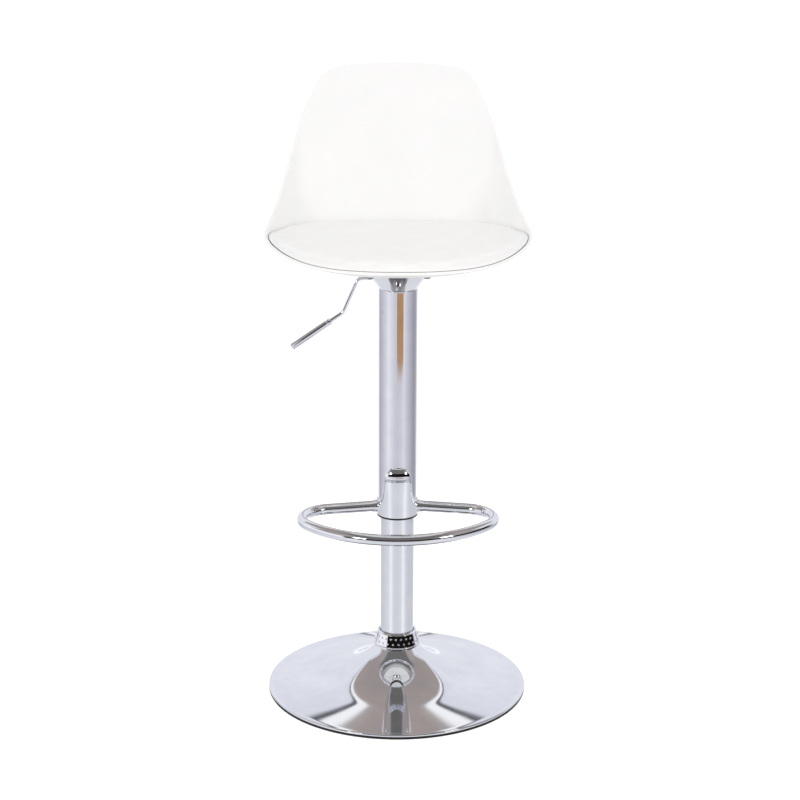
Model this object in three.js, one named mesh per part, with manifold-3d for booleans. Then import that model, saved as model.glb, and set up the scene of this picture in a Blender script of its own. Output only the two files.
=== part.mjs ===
// Adjustable swivel bar stool: a chromed trumpet base, a gas-lift column inside a chromed cover sleeve,
// a D-shaped footrest carried by the sleeve, and a moulded bucket seat with a loose upholstered pad.
// Millimetres, +Z up, the sitter faces -Y. The origin is on the floor at the column's axis.
// The stool is drawn at its lowest height, with the lift resting on its bumper.
import * as THREE from "three";
import { mergeVertices } from "three/addons/utils/BufferGeometryUtils.js";
import Module from "manifold-3d";

const wasm = await Module();
wasm.setup();

// ---- Driving dimensions -------------------------------------------------------------------------
const GAP = 0.3; // between pieces that touch

const BASE_RADIUS = 192.5;
const BASE_WALL = 1.8;
const BASE_RIM_TOP = 7.2; // height of the rolled edge of the base
const RUBBER_HEIGHT = 3.6; // of the floor ring below the steel edge
const NECK_RADIUS = 30;
const NECK_TOP = 71;
const TRIM_BOTTOM = 68.4; // trim ring at the foot of the column
const TRIM_TOP = 91.4;
const TRIM_RADIUS = 34; // of the ring's band at its foot
const TRIM_SHOULDER_RADIUS = 29.4; // of the band at its top
const TRIM_LIP = 1.3; // how far the ring's plain lip stands out from the band
const TRUMPET_OFFSET = 28; // moves the pole of the trumpet's hyperbola behind the axis
const BALLAST_BOTTOM = 3.5;
const BALLAST_TOP = 14;

const TUBE_RADIUS = 25; // fixed column tube
const TUBE_WALL = 1.6;
const TUBE_BOTTOM = 8;
const END_PLATE_THICK = 4; // of the plate in the tube's foot that the gas rod hangs through
const TUBE_TOP = 560;
const BUSH_BOTTOM = 498; // of the bush that guides the gas cylinder in the tube's top

const SLEEVE_RADIUS = 28.5; // telescopic cover sleeve
const SLEEVE_WALL = 1.5;
const SLEEVE_BOTTOM = 275;
const SLEEVE_TOP = 614;

const ROD_RADIUS = 5;
const ROD_TIP_RADIUS = 4;
const CYLINDER_RADIUS = 14; // gas cylinder
const CYLINDER_WALL = 1.8;
const CYLINDER_BOTTOM = 36;
const CYLINDER_TOP = 620;
const TAPER_BOTTOM = 584; // where the cylinder's top begins to taper
const PISTON_BOTTOM = 298;
const PISTON_HEIGHT = 15;
const BUTTON_RADIUS = 3;
const BUTTON_BOTTOM = 592;
const THRUST_WASHER_RADIUS = 14;

const FOOTREST_HEIGHT = 285; // centre line
const FOOTREST_RADIUS = 8;
const FOOTREST_REACH = 150; // from the axis to the centre line of the front bar
const FOOTREST_CORNER = { x: 93.5, y: -59, radius: 45 };
const SADDLE_RADIUS = 30.4;
const SADDLE_TOP = 346;

const PLATE_BOTTOM = 640.7;
const PLATE_THICK = 3;
const PLATE_SIZE = 100;
const SCREW_PITCH = 80;
const CUP_TOP_RADIUS = 48.2;
const SOCKET_RADIUS = 19; // of the socket that grips the gas cylinder's taper

const LEVER_HEIGHT = 628;
const LEVER_RADIUS = 3;
const LEVER_PIVOT_X = -25.5;
const GRIP_LENGTH = 66;

const SHELL_BOTTOM = PLATE_BOTTOM + PLATE_THICK + GAP;
const SHELL_WALL = 4.5;
const FLAT_RADIUS = 60; // of the flat under the shell, where the plate sits
const FLAT_SHARE = 0.3; // of the way out to the rim, in the shell's own measure
const BOSS_RADIUS = 8;
const BOARD_BOTTOM = 657;
const BOARD_THICK = 9;
const PAD_CLEARANCE = 1.6; // from the shell
const PAD_EDGE = 688;
const PAD_CROWN = 695;

const BASE_ROUND = 72; // sides of the base
const SEAT_ROUND = 56; // of the seat
const ROUND = 40; // of the column
const SMALL_ROUND = 16; // of small pieces

// ---- Materials ----------------------------------------------------------------------------------
const finish = (color, roughness, metalness) =>
  new THREE.MeshStandardMaterial({ color, roughness, metalness });
const chrome = finish(0xd9dade, 0.08, 1);
const steel = finish(0x9a9c9f, 0.4, 1);
const castIron = finish(0x2f3032, 0.8, 0.4);
const blackPlastic = finish(0x17181a, 0.55, 0);
const rubber = finish(0x141414, 0.85, 0);
const acetal = finish(0xe9e6dc, 0.45, 0);
const blackPaint = finish(0x1b1b1c, 0.5, 0.2);
const shellPlastic = finish(0xf4f3f0, 0.42, 0);
const padLeather = finish(0xf3f2ef, 0.5, 0);
const plywood = finish(0xc8a877, 0.75, 0);

// ---- Shape helpers ------------------------------------------------------------------------------

// A geometry as a manifold solid: only positions, with shared vertices merged.
function solid(geometry) {
  const bare = geometry.index ? geometry.toNonIndexed() : geometry.clone();
  bare.deleteAttribute("normal");
  bare.deleteAttribute("uv");
  const merged = mergeVertices(bare, 1e-4);
  return new wasm.Manifold(
    new wasm.Mesh({
      numProp: 3,
      vertProperties: merged.attributes.position.array,
      triVerts: new Uint32Array(merged.index.array),
    }),
  );
}

// A manifold solid as a geometry.
function geometryOf(body) {
  const mesh = body.getMesh();
  const geometry = new THREE.BufferGeometry();
  geometry.setAttribute("position", new THREE.BufferAttribute(mesh.vertProperties, 3));
  geometry.setIndex(new THREE.BufferAttribute(mesh.triVerts, 1));
  geometry.computeVertexNormals();
  return geometry;
}

// A profile of [radius, height] points turned about the Z axis. Closed profiles run anticlockwise.
function turned(profile, sides = ROUND) {
  const points = profile.map(([radius, height]) => new THREE.Vector2(radius, height));
  return new THREE.LatheGeometry(points, sides).rotateX(Math.PI / 2);
}

// A ring of rectangular section.
function ring(inner, outer, bottom, top, sides = SMALL_ROUND) {
  return turned(
    [
      [inner, bottom],
      [outer, bottom],
      [outer, top],
      [inner, top],
      [inner, bottom],
    ],
    sides,
  );
}

// A solid cylinder about the Z axis through (x, y).
function rod(radius, bottom, top, x = 0, y = 0, sides = SMALL_ROUND) {
  const profile = [
    [0, bottom],
    [radius, bottom],
    [radius, top],
    [0, top],
  ];
  return turned(profile, sides).translate(x, y, 0);
}

// A box between two corners.
function block(low, high) {
  const size = high.map((value, i) => value - low[i]);
  const middle = high.map((value, i) => (value + low[i]) / 2);
  return new THREE.BoxGeometry(...size).translate(...middle);
}

// A curve that lies in one plane: a 2-D path, and a function that puts its points in space.
class PlanarCurve extends THREE.Curve {
  constructor(path, place) {
    super();
    this.path = path;
    this.place = place;
  }

  getPoint(t) {
    const point = this.path.getPointAt(THREE.MathUtils.clamp(t, 0, 1));
    return this.place(point.x, point.y);
  }
}

// A round bar of one radius along a curve.
function bar(curve, radius, sides, steps) {
  const section = new THREE.Shape();
  for (let i = 0; i < sides; i++) {
    const angle = (i / sides) * 2 * Math.PI;
    const x = radius * Math.cos(angle);
    const y = radius * Math.sin(angle);
    if (i === 0) section.moveTo(x, y);
    else section.lineTo(x, y);
  }
  section.closePath();
  return new THREE.ExtrudeGeometry(section, { steps, extrudePath: curve, bevelEnabled: false });
}

// A 2-D path through corner points, each inner corner rounded by its radius.
function roundedPath(corners) {
  const path = new THREE.Path();
  path.moveTo(corners[0].x, corners[0].y);
  for (let i = 1; i < corners.length - 1; i++) {
    const here = new THREE.Vector2(corners[i].x, corners[i].y);
    const into = new THREE.Vector2(corners[i - 1].x, corners[i - 1].y).sub(here).normalize();
    const out = new THREE.Vector2(corners[i + 1].x, corners[i + 1].y).sub(here).normalize();
    const half = Math.acos(THREE.MathUtils.clamp(into.dot(out), -1, 1)) / 2;
    const reach = corners[i].radius / Math.tan(half);
    const start = here.clone().addScaledVector(into, reach);
    const end = here.clone().addScaledVector(out, reach);
    const bisector = into.clone().add(out).normalize();
    const centre = here.clone().addScaledVector(bisector, corners[i].radius / Math.sin(half));
    const angleAt = (point) => Math.atan2(point.y - centre.y, point.x - centre.x);
    const clockwise = into.x * out.y - into.y * out.x > 0;
    path.lineTo(start.x, start.y);
    path.absarc(centre.x, centre.y, corners[i].radius, angleAt(start), angleAt(end), clockwise);
  }
  const last = corners[corners.length - 1];
  path.lineTo(last.x, last.y);
  return path;
}

const stool = new THREE.Group();

function add(name, geometry, material) {
  const mesh = new THREE.Mesh(geometry, material);
  mesh.name = name;
  stool.add(mesh);
}

// ---- Base ---------------------------------------------------------------------------------------

// Height of the trumpet's outer surface: a hyperbola from the rim up to the neck.
const trumpetScale =
  (NECK_TOP - BASE_RIM_TOP) / (1 / (NECK_RADIUS + TRUMPET_OFFSET) - 1 / (BASE_RADIUS + TRUMPET_OFFSET));
const trumpetDrop = trumpetScale / (BASE_RADIUS + TRUMPET_OFFSET) - BASE_RIM_TOP;
const trumpetHeight = (radius) => trumpetScale / (radius + TRUMPET_OFFSET) - trumpetDrop;

// Radii at which the trumpet is drawn, closer together towards the neck where it bends most.
const trumpetRadii = Array.from({ length: 10 }, (_, i) => {
  const along = i / 9;
  return NECK_RADIUS + (BASE_RADIUS - 2.5 - NECK_RADIUS) * along ** 1.7;
});

function baseDisc() {
  const edge = RUBBER_HEIGHT + GAP;
  const bore = TUBE_RADIUS + 0.5;
  const outside = trumpetRadii.map((radius) => [radius, trumpetHeight(radius)]);
  const inside = trumpetRadii.map((radius) => [
    Math.min(radius - BASE_WALL * 0.7, BASE_RADIUS - BASE_WALL - 3),
    trumpetHeight(radius) - BASE_WALL * 1.1,
  ]);
  return turned([
    [bore, NECK_TOP - BASE_WALL],
    ...inside,
    [BASE_RADIUS - BASE_WALL, BASE_RIM_TOP - BASE_WALL - 1],
    [BASE_RADIUS - BASE_WALL, edge],
    [BASE_RADIUS, edge],
    [BASE_RADIUS, BASE_RIM_TOP - 2],
    [BASE_RADIUS - 1, BASE_RIM_TOP - 0.4],
    ...outside.reverse(),
    [bore + 2, NECK_TOP + 1],
    [bore, NECK_TOP + 1],
    [bore, NECK_TOP - BASE_WALL],
  ], BASE_ROUND);
}

function floorRing() {
  const lip = BASE_RADIUS - BASE_WALL - GAP;
  return turned([
    [lip - 6, 0],
    [BASE_RADIUS, 0],
    [BASE_RADIUS, RUBBER_HEIGHT],
    [lip, RUBBER_HEIGHT],
    [lip, RUBBER_HEIGHT + 0.6],
    [lip - 6, RUBBER_HEIGHT + 0.6],
    [lip - 6, 0],
  ], BASE_ROUND);
}

// Cast weight that fills the outer part of the hollow base, flat below and following the steel above.
function ballast() {
  const clearance = BASE_WALL * 1.1 + 1.4;
  const outer = BASE_RADIUS - BASE_WALL - 7;
  const inner = TUBE_RADIUS + 5;
  const flatFrom = trumpetScale / (BALLAST_TOP + clearance + trumpetDrop) - TRUMPET_OFFSET;
  const middle = (outer + flatFrom) / 2;
  return turned([
    [inner, BALLAST_BOTTOM],
    [outer, BALLAST_BOTTOM],
    [outer, trumpetHeight(outer) - clearance],
    [middle, trumpetHeight(middle) - clearance],
    [flatFrom, BALLAST_TOP],
    [inner, BALLAST_TOP],
    [inner, BALLAST_BOTTOM],
  ]);
}

// Trim ring that hides the joint between column and base: a plain lip, a tapered band, a bevelled top.
function trimRing() {
  const bore = TUBE_RADIUS + 0.6;
  const skirt = TRIM_RADIUS - 1.4;
  const seat = NECK_TOP + 1 + GAP;
  return turned([
    [skirt, TRIM_BOTTOM],
    [TRIM_RADIUS + TRIM_LIP, TRIM_BOTTOM],
    [TRIM_RADIUS + TRIM_LIP, TRIM_BOTTOM + 1.4],
    [TRIM_RADIUS, TRIM_BOTTOM + 2.2],
    [TRIM_SHOULDER_RADIUS, TRIM_TOP - 2.4],
    [TRIM_SHOULDER_RADIUS - 1.2, TRIM_TOP - 0.4],
    [bore + 1.5, TRIM_TOP],
    [bore, TRIM_TOP - 0.8],
    [bore, seat],
    [skirt, seat],
    [skirt, TRIM_BOTTOM],
  ]);
}

add("base_disc", baseDisc(), chrome);
add("floor_ring", floorRing(), rubber);
add("base_ballast", ballast(), castIron);
add("hub_socket", ring(TUBE_RADIUS + GAP, TUBE_RADIUS + 4, 9, 56, ROUND), steel);
add("base_trim_ring", trimRing(), chrome);

// ---- Fixed column -------------------------------------------------------------------------------
const tubeInside = TUBE_RADIUS - TUBE_WALL;

add("column_tube", ring(tubeInside, TUBE_RADIUS, TUBE_BOTTOM, TUBE_TOP, ROUND), chrome);
add(
  "column_end_plate",
  ring(ROD_TIP_RADIUS + 0.4, tubeInside - GAP, TUBE_BOTTOM, TUBE_BOTTOM + END_PLATE_THICK),
  steel,
);
add(
  "guide_bush",
  turned([
    [CYLINDER_RADIUS + GAP, BUSH_BOTTOM],
    [tubeInside - GAP, BUSH_BOTTOM],
    [tubeInside - GAP, TUBE_TOP + GAP],
    [TUBE_RADIUS, TUBE_TOP + GAP],
    [TUBE_RADIUS, TUBE_TOP + 3],
    [CYLINDER_RADIUS + GAP, TUBE_TOP + 3],
    [CYLINDER_RADIUS + GAP, BUSH_BOTTOM],
  ], 32),
  acetal,
);

// ---- Gas spring ---------------------------------------------------------------------------------
const bearingBottom = TUBE_BOTTOM + END_PLATE_THICK + GAP;
const washerThick = 1.5;
const cageThick = 3;
const upperWasher = bearingBottom + washerThick + GAP + cageThick + GAP;
const rodShoulder = upperWasher + washerThick + GAP;
const washerBore = ROD_TIP_RADIUS + 0.4;
const cylinderInside = CYLINDER_RADIUS - CYLINDER_WALL;

add(
  "bearing_washer_lower",
  ring(washerBore, THRUST_WASHER_RADIUS, bearingBottom, bearingBottom + washerThick),
  steel,
);
add(
  "bearing_cage",
  ring(washerBore + 0.2, THRUST_WASHER_RADIUS - 1, bearingBottom + washerThick + GAP, upperWasher - GAP),
  acetal,
);
add(
  "bearing_washer_upper",
  ring(washerBore, THRUST_WASHER_RADIUS, upperWasher, upperWasher + washerThick),
  steel,
);

// The rod's tip passes the thrust bearing and the end plate, and has a groove for the clip.
add(
  "piston_rod",
  turned([
    [0, 4.4],
    [ROD_TIP_RADIUS, 4.4],
    [ROD_TIP_RADIUS, 5.6],
    [ROD_TIP_RADIUS - 0.9, 5.6],
    [ROD_TIP_RADIUS - 0.9, 7.4],
    [ROD_TIP_RADIUS, 7.4],
    [ROD_TIP_RADIUS, rodShoulder],
    [ROD_RADIUS, rodShoulder],
    [ROD_RADIUS, PISTON_BOTTOM - GAP],
    [ROD_TIP_RADIUS - 0.5, PISTON_BOTTOM - GAP],
    [ROD_TIP_RADIUS - 0.5, PISTON_BOTTOM + PISTON_HEIGHT + 3],
    [0, PISTON_BOTTOM + PISTON_HEIGHT + 3],
  ]),
  chrome,
);
add(
  "piston",
  ring(ROD_TIP_RADIUS - 0.5 + GAP, cylinderInside - GAP, PISTON_BOTTOM, PISTON_BOTTOM + PISTON_HEIGHT),
  steel,
);
add("rod_bumper", ring(ROD_RADIUS + 0.4, 12.5, rodShoulder, CYLINDER_BOTTOM - GAP), rubber);

function retainingClip() {
  const disc = solid(ring(ROD_TIP_RADIUS - 0.9 + GAP, 9, 5.8, 7.2));
  const mouth = solid(block([0, -2.4, 5], [12, 2.4, 8]));
  return geometryOf(disc.subtract(mouth));
}
add("retaining_clip", retainingClip(), steel);

// The cylinder is open below for the rod, and its tapered top has the valve button's hole.
add(
  "gas_cylinder",
  turned([
    [cylinderInside, CYLINDER_BOTTOM],
    [CYLINDER_RADIUS, CYLINDER_BOTTOM],
    [CYLINDER_RADIUS, TAPER_BOTTOM],
    [CYLINDER_RADIUS - 2, CYLINDER_TOP],
    [BUTTON_RADIUS + GAP, CYLINDER_TOP],
    [BUTTON_RADIUS + GAP, TAPER_BOTTOM + 2],
    [cylinderInside, TAPER_BOTTOM - 4],
    [cylinderInside, CYLINDER_BOTTOM],
  ], 32),
  blackPaint,
);
add(
  "rod_seal",
  ring(ROD_RADIUS + GAP, cylinderInside - GAP, CYLINDER_BOTTOM + 1, CYLINDER_BOTTOM + 22),
  blackPlastic,
);
add("release_button", rod(BUTTON_RADIUS, BUTTON_BOTTOM, LEVER_HEIGHT - LEVER_RADIUS - 0.4), steel);

// ---- Cover sleeve and footrest ------------------------------------------------------------------
const sleeveInside = SLEEVE_RADIUS - SLEEVE_WALL;

add("cover_sleeve", ring(sleeveInside, SLEEVE_RADIUS, SLEEVE_BOTTOM, SLEEVE_TOP, ROUND), chrome);
add(
  "sleeve_bush",
  turned([
    [TUBE_RADIUS + GAP, SLEEVE_BOTTOM - 3],
    [SADDLE_RADIUS - 0.2, SLEEVE_BOTTOM - 3],
    [SADDLE_RADIUS - 0.2, SLEEVE_BOTTOM - GAP],
    [sleeveInside - GAP, SLEEVE_BOTTOM - GAP],
    [sleeveInside - GAP, SLEEVE_BOTTOM + 34],
    [TUBE_RADIUS + GAP, SLEEVE_BOTTOM + 34],
    [TUBE_RADIUS + GAP, SLEEVE_BOTTOM - 3],
  ]),
  blackPlastic,
);

// Where the footrest's right arm leaves its boss, and the direction it leaves in.
const armStart = new THREE.Vector2(39, -2);
const cornerCentre = new THREE.Vector2(FOOTREST_CORNER.x, FOOTREST_CORNER.y);
const toCorner = cornerCentre.clone().sub(armStart);
const armAngle = toCorner.angle() - 2 * Math.PI + Math.asin(FOOTREST_CORNER.radius / toCorner.length());

// The footrest's plan: a straight arm, a tight corner, the wide front arc, and the same back again.
function footrestPath() {
  const { x: cornerX, y: cornerY, radius: cornerRadius } = FOOTREST_CORNER;
  const drop = FOOTREST_REACH + cornerY;
  const frontRadius = (cornerX ** 2 + drop ** 2 - cornerRadius ** 2) / (2 * (drop - cornerRadius));
  const frontY = frontRadius - FOOTREST_REACH;
  const join = Math.atan2(cornerY - frontY, cornerX);
  const turn = armAngle + Math.PI / 2;
  const armEnd = new THREE.Vector2(Math.cos(turn), Math.sin(turn)).multiplyScalar(cornerRadius);
  const path = new THREE.Path();
  path.moveTo(armStart.x, armStart.y);
  path.lineTo(cornerX + armEnd.x, cornerY + armEnd.y);
  path.absarc(cornerX, cornerY, cornerRadius, turn, join, true);
  path.absarc(0, frontY, frontRadius, join, -Math.PI - join, true);
  path.absarc(-cornerX, cornerY, cornerRadius, -Math.PI - join, Math.PI / 2 - armAngle, true);
  path.lineTo(-armStart.x, armStart.y);
  return path;
}
const inFootrestPlane = (x, y) => new THREE.Vector3(x, y, FOOTREST_HEIGHT);
add(
  "footrest_ring",
  bar(new PlanarCurve(footrestPath(), inFootrestPlane), FOOTREST_RADIUS, 12, 64),
  chrome,
);

// The saddle: a band round the sleeve, a tongue up its front, and a tapered boss for each arm.
function saddle() {
  const inner = SLEEVE_RADIUS + GAP;
  const band = solid(ring(inner, SADDLE_RADIUS, SLEEVE_BOTTOM, 297, ROUND));
  const outerFace = [
    [inner, SLEEVE_BOTTOM],
    [SADDLE_RADIUS, SLEEVE_BOTTOM],
    [SADDLE_RADIUS + 1, 300],
    [SADDLE_RADIUS + 4.2, 330],
    [SADDLE_RADIUS + 4.6, 338],
    [SADDLE_RADIUS + 3.4, 343],
    [inner, SADDLE_TOP],
    [inner, SLEEVE_BOTTOM],
  ];
  const outline = new THREE.Shape();
  outline.moveTo(-29, SLEEVE_BOTTOM - 5);
  outline.lineTo(-29, 296);
  outline.quadraticCurveTo(-23, 298, -22, 306);
  outline.lineTo(-19, 334);
  outline.quadraticCurveTo(-18, 350, -8, 350);
  outline.lineTo(8, 350);
  outline.quadraticCurveTo(18, 350, 19, 334);
  outline.lineTo(22, 306);
  outline.quadraticCurveTo(23, 298, 29, 296);
  outline.lineTo(29, SLEEVE_BOTTOM - 5);
  const cutter = new THREE.ExtrudeGeometry(outline, { depth: 60, bevelEnabled: false, curveSegments: 6 })
    .rotateX(Math.PI / 2)
    .translate(0, -2, 0);
  const tongue = solid(turned(outerFace)).intersect(solid(cutter));
  const bore = solid(rod(inner, SLEEVE_BOTTOM - 10, SADDLE_TOP + 10, 0, 0, ROUND));
  const bossLength = 15;
  let body = band.add(tongue);
  for (const side of [-1, 1]) {
    const middle = armStart.clone().addScaledVector(
      new THREE.Vector2(Math.cos(armAngle), Math.sin(armAngle)),
      -bossLength / 2 - GAP,
    );
    const boss = new THREE.CylinderGeometry(
      FOOTREST_RADIUS + 0.6,
      FOOTREST_RADIUS + 3,
      bossLength,
      SMALL_ROUND,
    )
      .rotateZ(side * (armAngle - Math.PI / 2))
      .translate(side * middle.x, middle.y, FOOTREST_HEIGHT);
    body = body.add(solid(boss));
  }
  return geometryOf(body.subtract(bore));
}
add("footrest_saddle", saddle(), chrome);

// ---- Seat plate and lift mechanism --------------------------------------------------------------
const screwSide = SCREW_PITCH / 2;
const screwPlaces = [
  [-screwSide, -screwSide],
  [screwSide, -screwSide],
  [screwSide, screwSide],
  [-screwSide, screwSide],
];

// A body drilled at the four screws.
function drilled(body, radius, bottom, top) {
  const holes = screwPlaces.map(([x, y]) => solid(rod(radius, bottom, top, x, y, 12)));
  return holes.reduce((left, hole) => left.subtract(hole), body);
}

function seatPlate() {
  const half = PLATE_SIZE / 2;
  const corner = 10;
  const outline = new THREE.Shape();
  outline.absarc(half - corner, half - corner, corner, 0, Math.PI / 2);
  outline.absarc(corner - half, half - corner, corner, Math.PI / 2, Math.PI);
  outline.absarc(corner - half, corner - half, corner, Math.PI, 1.5 * Math.PI);
  outline.absarc(half - corner, corner - half, corner, 1.5 * Math.PI, 2 * Math.PI);
  const settings = { depth: PLATE_THICK, bevelEnabled: false, curveSegments: 4 };
  const sheet = new THREE.ExtrudeGeometry(outline, settings).translate(0, 0, PLATE_BOTTOM);
  return geometryOf(drilled(solid(sheet), 3.4, PLATE_BOTTOM - 5, PLATE_BOTTOM + 10));
}

// Conical cup between the sleeve and the plate, slotted on one side for the lever.
function mechanismCup() {
  const wall = 1.4;
  const bottom = SLEEVE_TOP + GAP;
  const top = PLATE_BOTTOM - GAP;
  const cone = solid(turned([
    [SLEEVE_RADIUS - wall, bottom],
    [SLEEVE_RADIUS, bottom],
    [CUP_TOP_RADIUS, top],
    [CUP_TOP_RADIUS - 2 * wall, top],
    [SLEEVE_RADIUS - wall, bottom + wall],
    [SLEEVE_RADIUS - wall, bottom],
  ]));
  return geometryOf(cone.subtract(solid(block([-60, -5, 622], [-20, 5, 635]))));
}

// Tapered socket that grips the gas cylinder, with a window for the lever.
function taperSocket() {
  const top = PLATE_BOTTOM - GAP;
  const body = solid(turned([
    [CYLINDER_RADIUS + GAP, TAPER_BOTTOM + 2],
    [SOCKET_RADIUS, TAPER_BOTTOM + 2],
    [SOCKET_RADIUS, top],
    [CYLINDER_RADIUS - 1.4, top],
    [CYLINDER_RADIUS - 1.4, CYLINDER_TOP],
    [CYLINDER_RADIUS + GAP, TAPER_BOTTOM + 2],
  ], 32));
  return geometryOf(body.subtract(solid(block([-24, -4.5, 621.5], [0, 4.5, 635]))));
}

// A pin, or the cutter of its hole, across the lever at its pivot.
function pivotPin(radius, length) {
  return new THREE.CylinderGeometry(radius, radius, length, 12).translate(LEVER_PIVOT_X, 0, LEVER_HEIGHT);
}

// Two ears below the plate that carry the lever's pivot pin.
function leverBracket() {
  const top = PLATE_BOTTOM - GAP;
  const outside = solid(block([-30, -9, 621.5], [-20.5, 9, top]));
  const inside = solid(block([-40, -7, 615], [-10, 7, top - 1.5]));
  return geometryOf(outside.subtract(inside).subtract(solid(pivotPin(2.8, 30))));
}

add("seat_plate", seatPlate(), steel);
add("mechanism_cup", mechanismCup(), chrome);
add("taper_socket", taperSocket(), steel);
add("lever_bracket", leverBracket(), steel);
add("lever_pivot_pin", pivotPin(2.4, 21), steel);

// ---- Lever --------------------------------------------------------------------------------------
const leverCorners = [
  { x: -30, y: LEVER_HEIGHT },
  { x: -57, y: LEVER_HEIGHT, radius: 11 },
  { x: -79, y: 577.5, radius: 16 },
  { x: -150.5, y: 528 },
];
const FINGER_TIP_X = 2; // the finger reaches just past the button's axis
const FINGER_ROOT_X = -24;
const inLeverPlane = (x, z) => new THREE.Vector3(x, 0, z);

add(
  "lever_rod",
  bar(new PlanarCurve(roundedPath(leverCorners), inLeverPlane), LEVER_RADIUS, 12, 30),
  chrome,
);

// The block that turns on the pivot pin, with the finger that presses the button.
function leverBlock() {
  const body = solid(block([-29.5, -5.5, 622.8], [-21, 5.5, 633.2]));
  const finger = solid(
    new THREE.CylinderGeometry(LEVER_RADIUS, LEVER_RADIUS, FINGER_TIP_X - FINGER_ROOT_X, 12)
      .rotateZ(Math.PI / 2)
      .translate((FINGER_TIP_X + FINGER_ROOT_X) / 2, 0, LEVER_HEIGHT),
  );
  return geometryOf(body.add(finger).subtract(solid(pivotPin(2.7, 30))));
}
add("lever_block", leverBlock(), steel);

// The grip: a turned chromed sleeve pushed onto the end of the rod.
function leverGrip() {
  const [bend, end] = leverCorners.slice(-2).map(({ x, y }) => inLeverPlane(x, y));
  const along = end.clone().sub(bend).normalize();
  const start = end.clone().addScaledVector(along, -GRIP_LENGTH);
  const length = GRIP_LENGTH + 3;
  const grip = turned([
    [LEVER_RADIUS + GAP, 0],
    [4.4, 0],
    [4.9, 0.8],
    [4.9, length - 1.6],
    [3.6, length],
    [0, length],
    [0, length - 2.5],
    [LEVER_RADIUS + GAP, length - 2.5],
    [LEVER_RADIUS + GAP, 0],
  ], SMALL_ROUND);
  const turn = new THREE.Quaternion().setFromUnitVectors(new THREE.Vector3(0, 0, 1), along);
  return grip.applyQuaternion(turn).translate(start.x, start.y, start.z);
}
add("lever_grip", leverGrip(), chrome);

// ---- Seat ---------------------------------------------------------------------------------------

// The shell's outer rim on the sitter's left, from the middle of the front lip to the top of the back.
const rimPoints = [
  [0, -191, 672.3],
  [47, -188, 672.5],
  [93, -175, 673.6],
  [128, -151, 676],
  [152, -122, 679.5],
  [170, -87, 683],
  [184, -47, 687.5],
  [190, -8, 693],
  [186, 32, 703],
  [177.5, 70, 721],
  [168, 106, 750],
  [156, 137, 789],
  [143, 159, 831],
  [126, 177, 870],
  [107, 188, 898],
  [76, 194, 908],
  [38, 197, 911],
  [0, 198, 912],
];
const mirrored = rimPoints.slice(1, -1).reverse().map(([x, y, z]) => [-x, y, z]);
const rim = new THREE.CatmullRomCurve3(
  [...rimPoints, ...mirrored].map((point) => new THREE.Vector3(...point)),
  true,
  "centripetal",
);

// How a section of the shell runs from the flat out to the rim, by how far it rises: nearly straight at
// the low front, boxy at the sides, and leaning in the tall back. Each handle of the cubic curve is given
// as shares of the section's span and rise.
const sectionStyles = [
  { rise: 28, start: [0.36, 0.2], end: [0.74, 0.6] },
  { rise: 56, start: [0.8, 0], end: [0.98, 0.4] },
  { rise: 110, start: [0.88, 0], end: [0.98, 0.32] },
  { rise: 250, start: [0.69, 0], end: [0.68, 0.29] },
];
function sectionStyle(rise) {
  const last = sectionStyles.length - 1;
  const index = sectionStyles.findIndex((style) => style.rise >= rise);
  if (index === 0) return sectionStyles[0];
  if (index < 0) return sectionStyles[last];
  const [before, after] = [sectionStyles[index - 1], sectionStyles[index]];
  const share = THREE.MathUtils.smoothstep(rise, before.rise, after.rise);
  const mix = (key) => before[key].map((value, i) => THREE.MathUtils.lerp(value, after[key][i], share));
  return { start: mix("start"), end: mix("end") };
}

// A point of the shell's outer surface: u runs around the rim, v from the column's axis out to the rim.
function shellPoint(u, v) {
  const edge = rim.getPointAt(u);
  const radius = Math.hypot(edge.x, edge.y);
  const outwards = new THREE.Vector2(edge.x / radius, edge.y / radius);
  if (v <= FLAT_SHARE) {
    const reach = (v / FLAT_SHARE) * FLAT_RADIUS;
    return new THREE.Vector3(reach * outwards.x, reach * outwards.y, SHELL_BOTTOM);
  }
  const rise = edge.z - SHELL_BOTTOM;
  const { start, end } = sectionStyle(rise);
  const t = (v - FLAT_SHARE) / (1 - FLAT_SHARE);
  const w = 1 - t;
  const along = (first, second) => 3 * w * w * t * first + 3 * w * t * t * second + t ** 3;
  const reach = FLAT_RADIUS + (radius - FLAT_RADIUS) * along(start[0], end[0]);
  const height = SHELL_BOTTOM + rise * along(start[1], end[1]);
  return new THREE.Vector3(reach * outwards.x, reach * outwards.y, height);
}

// The same point moved inwards, square to the surface.
function shellInside(u, v, depth) {
  const step = 1e-3;
  const here = shellPoint(u, v);
  if (v <= FLAT_SHARE) return here.setZ(SHELL_BOTTOM + depth);
  const along = shellPoint((u + step) % 1, v).sub(shellPoint((u - step + 1) % 1, v));
  const out = here.clone().sub(shellPoint(u, v - step));
  return here.addScaledVector(out.cross(along).normalize(), depth);
}

// A closed surface from rings of points. The first and last rings are single points.
function lofted(rings) {
  const around = rings[1].length;
  const positions = rings.flat().flatMap((point) => [point.x, point.y, point.z]);
  const starts = rings.map((_, i) => rings.slice(0, i).reduce((sum, r) => sum + r.length, 0));
  const vertex = (row, column) => starts[row] + (rings[row].length > 1 ? column % around : 0);
  const faces = [];
  for (let i = 0; i < rings.length - 1; i++) {
    for (let j = 0; j < around; j++) {
      if (rings[i].length > 1) faces.push(vertex(i, j), vertex(i, j + 1), vertex(i + 1, j));
      if (rings[i + 1].length > 1) faces.push(vertex(i, j + 1), vertex(i + 1, j + 1), vertex(i + 1, j));
    }
  }
  const geometry = new THREE.BufferGeometry();
  geometry.setAttribute("position", new THREE.Float32BufferAttribute(positions, 3));
  geometry.setIndex(faces);
  return geometry;
}

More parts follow.
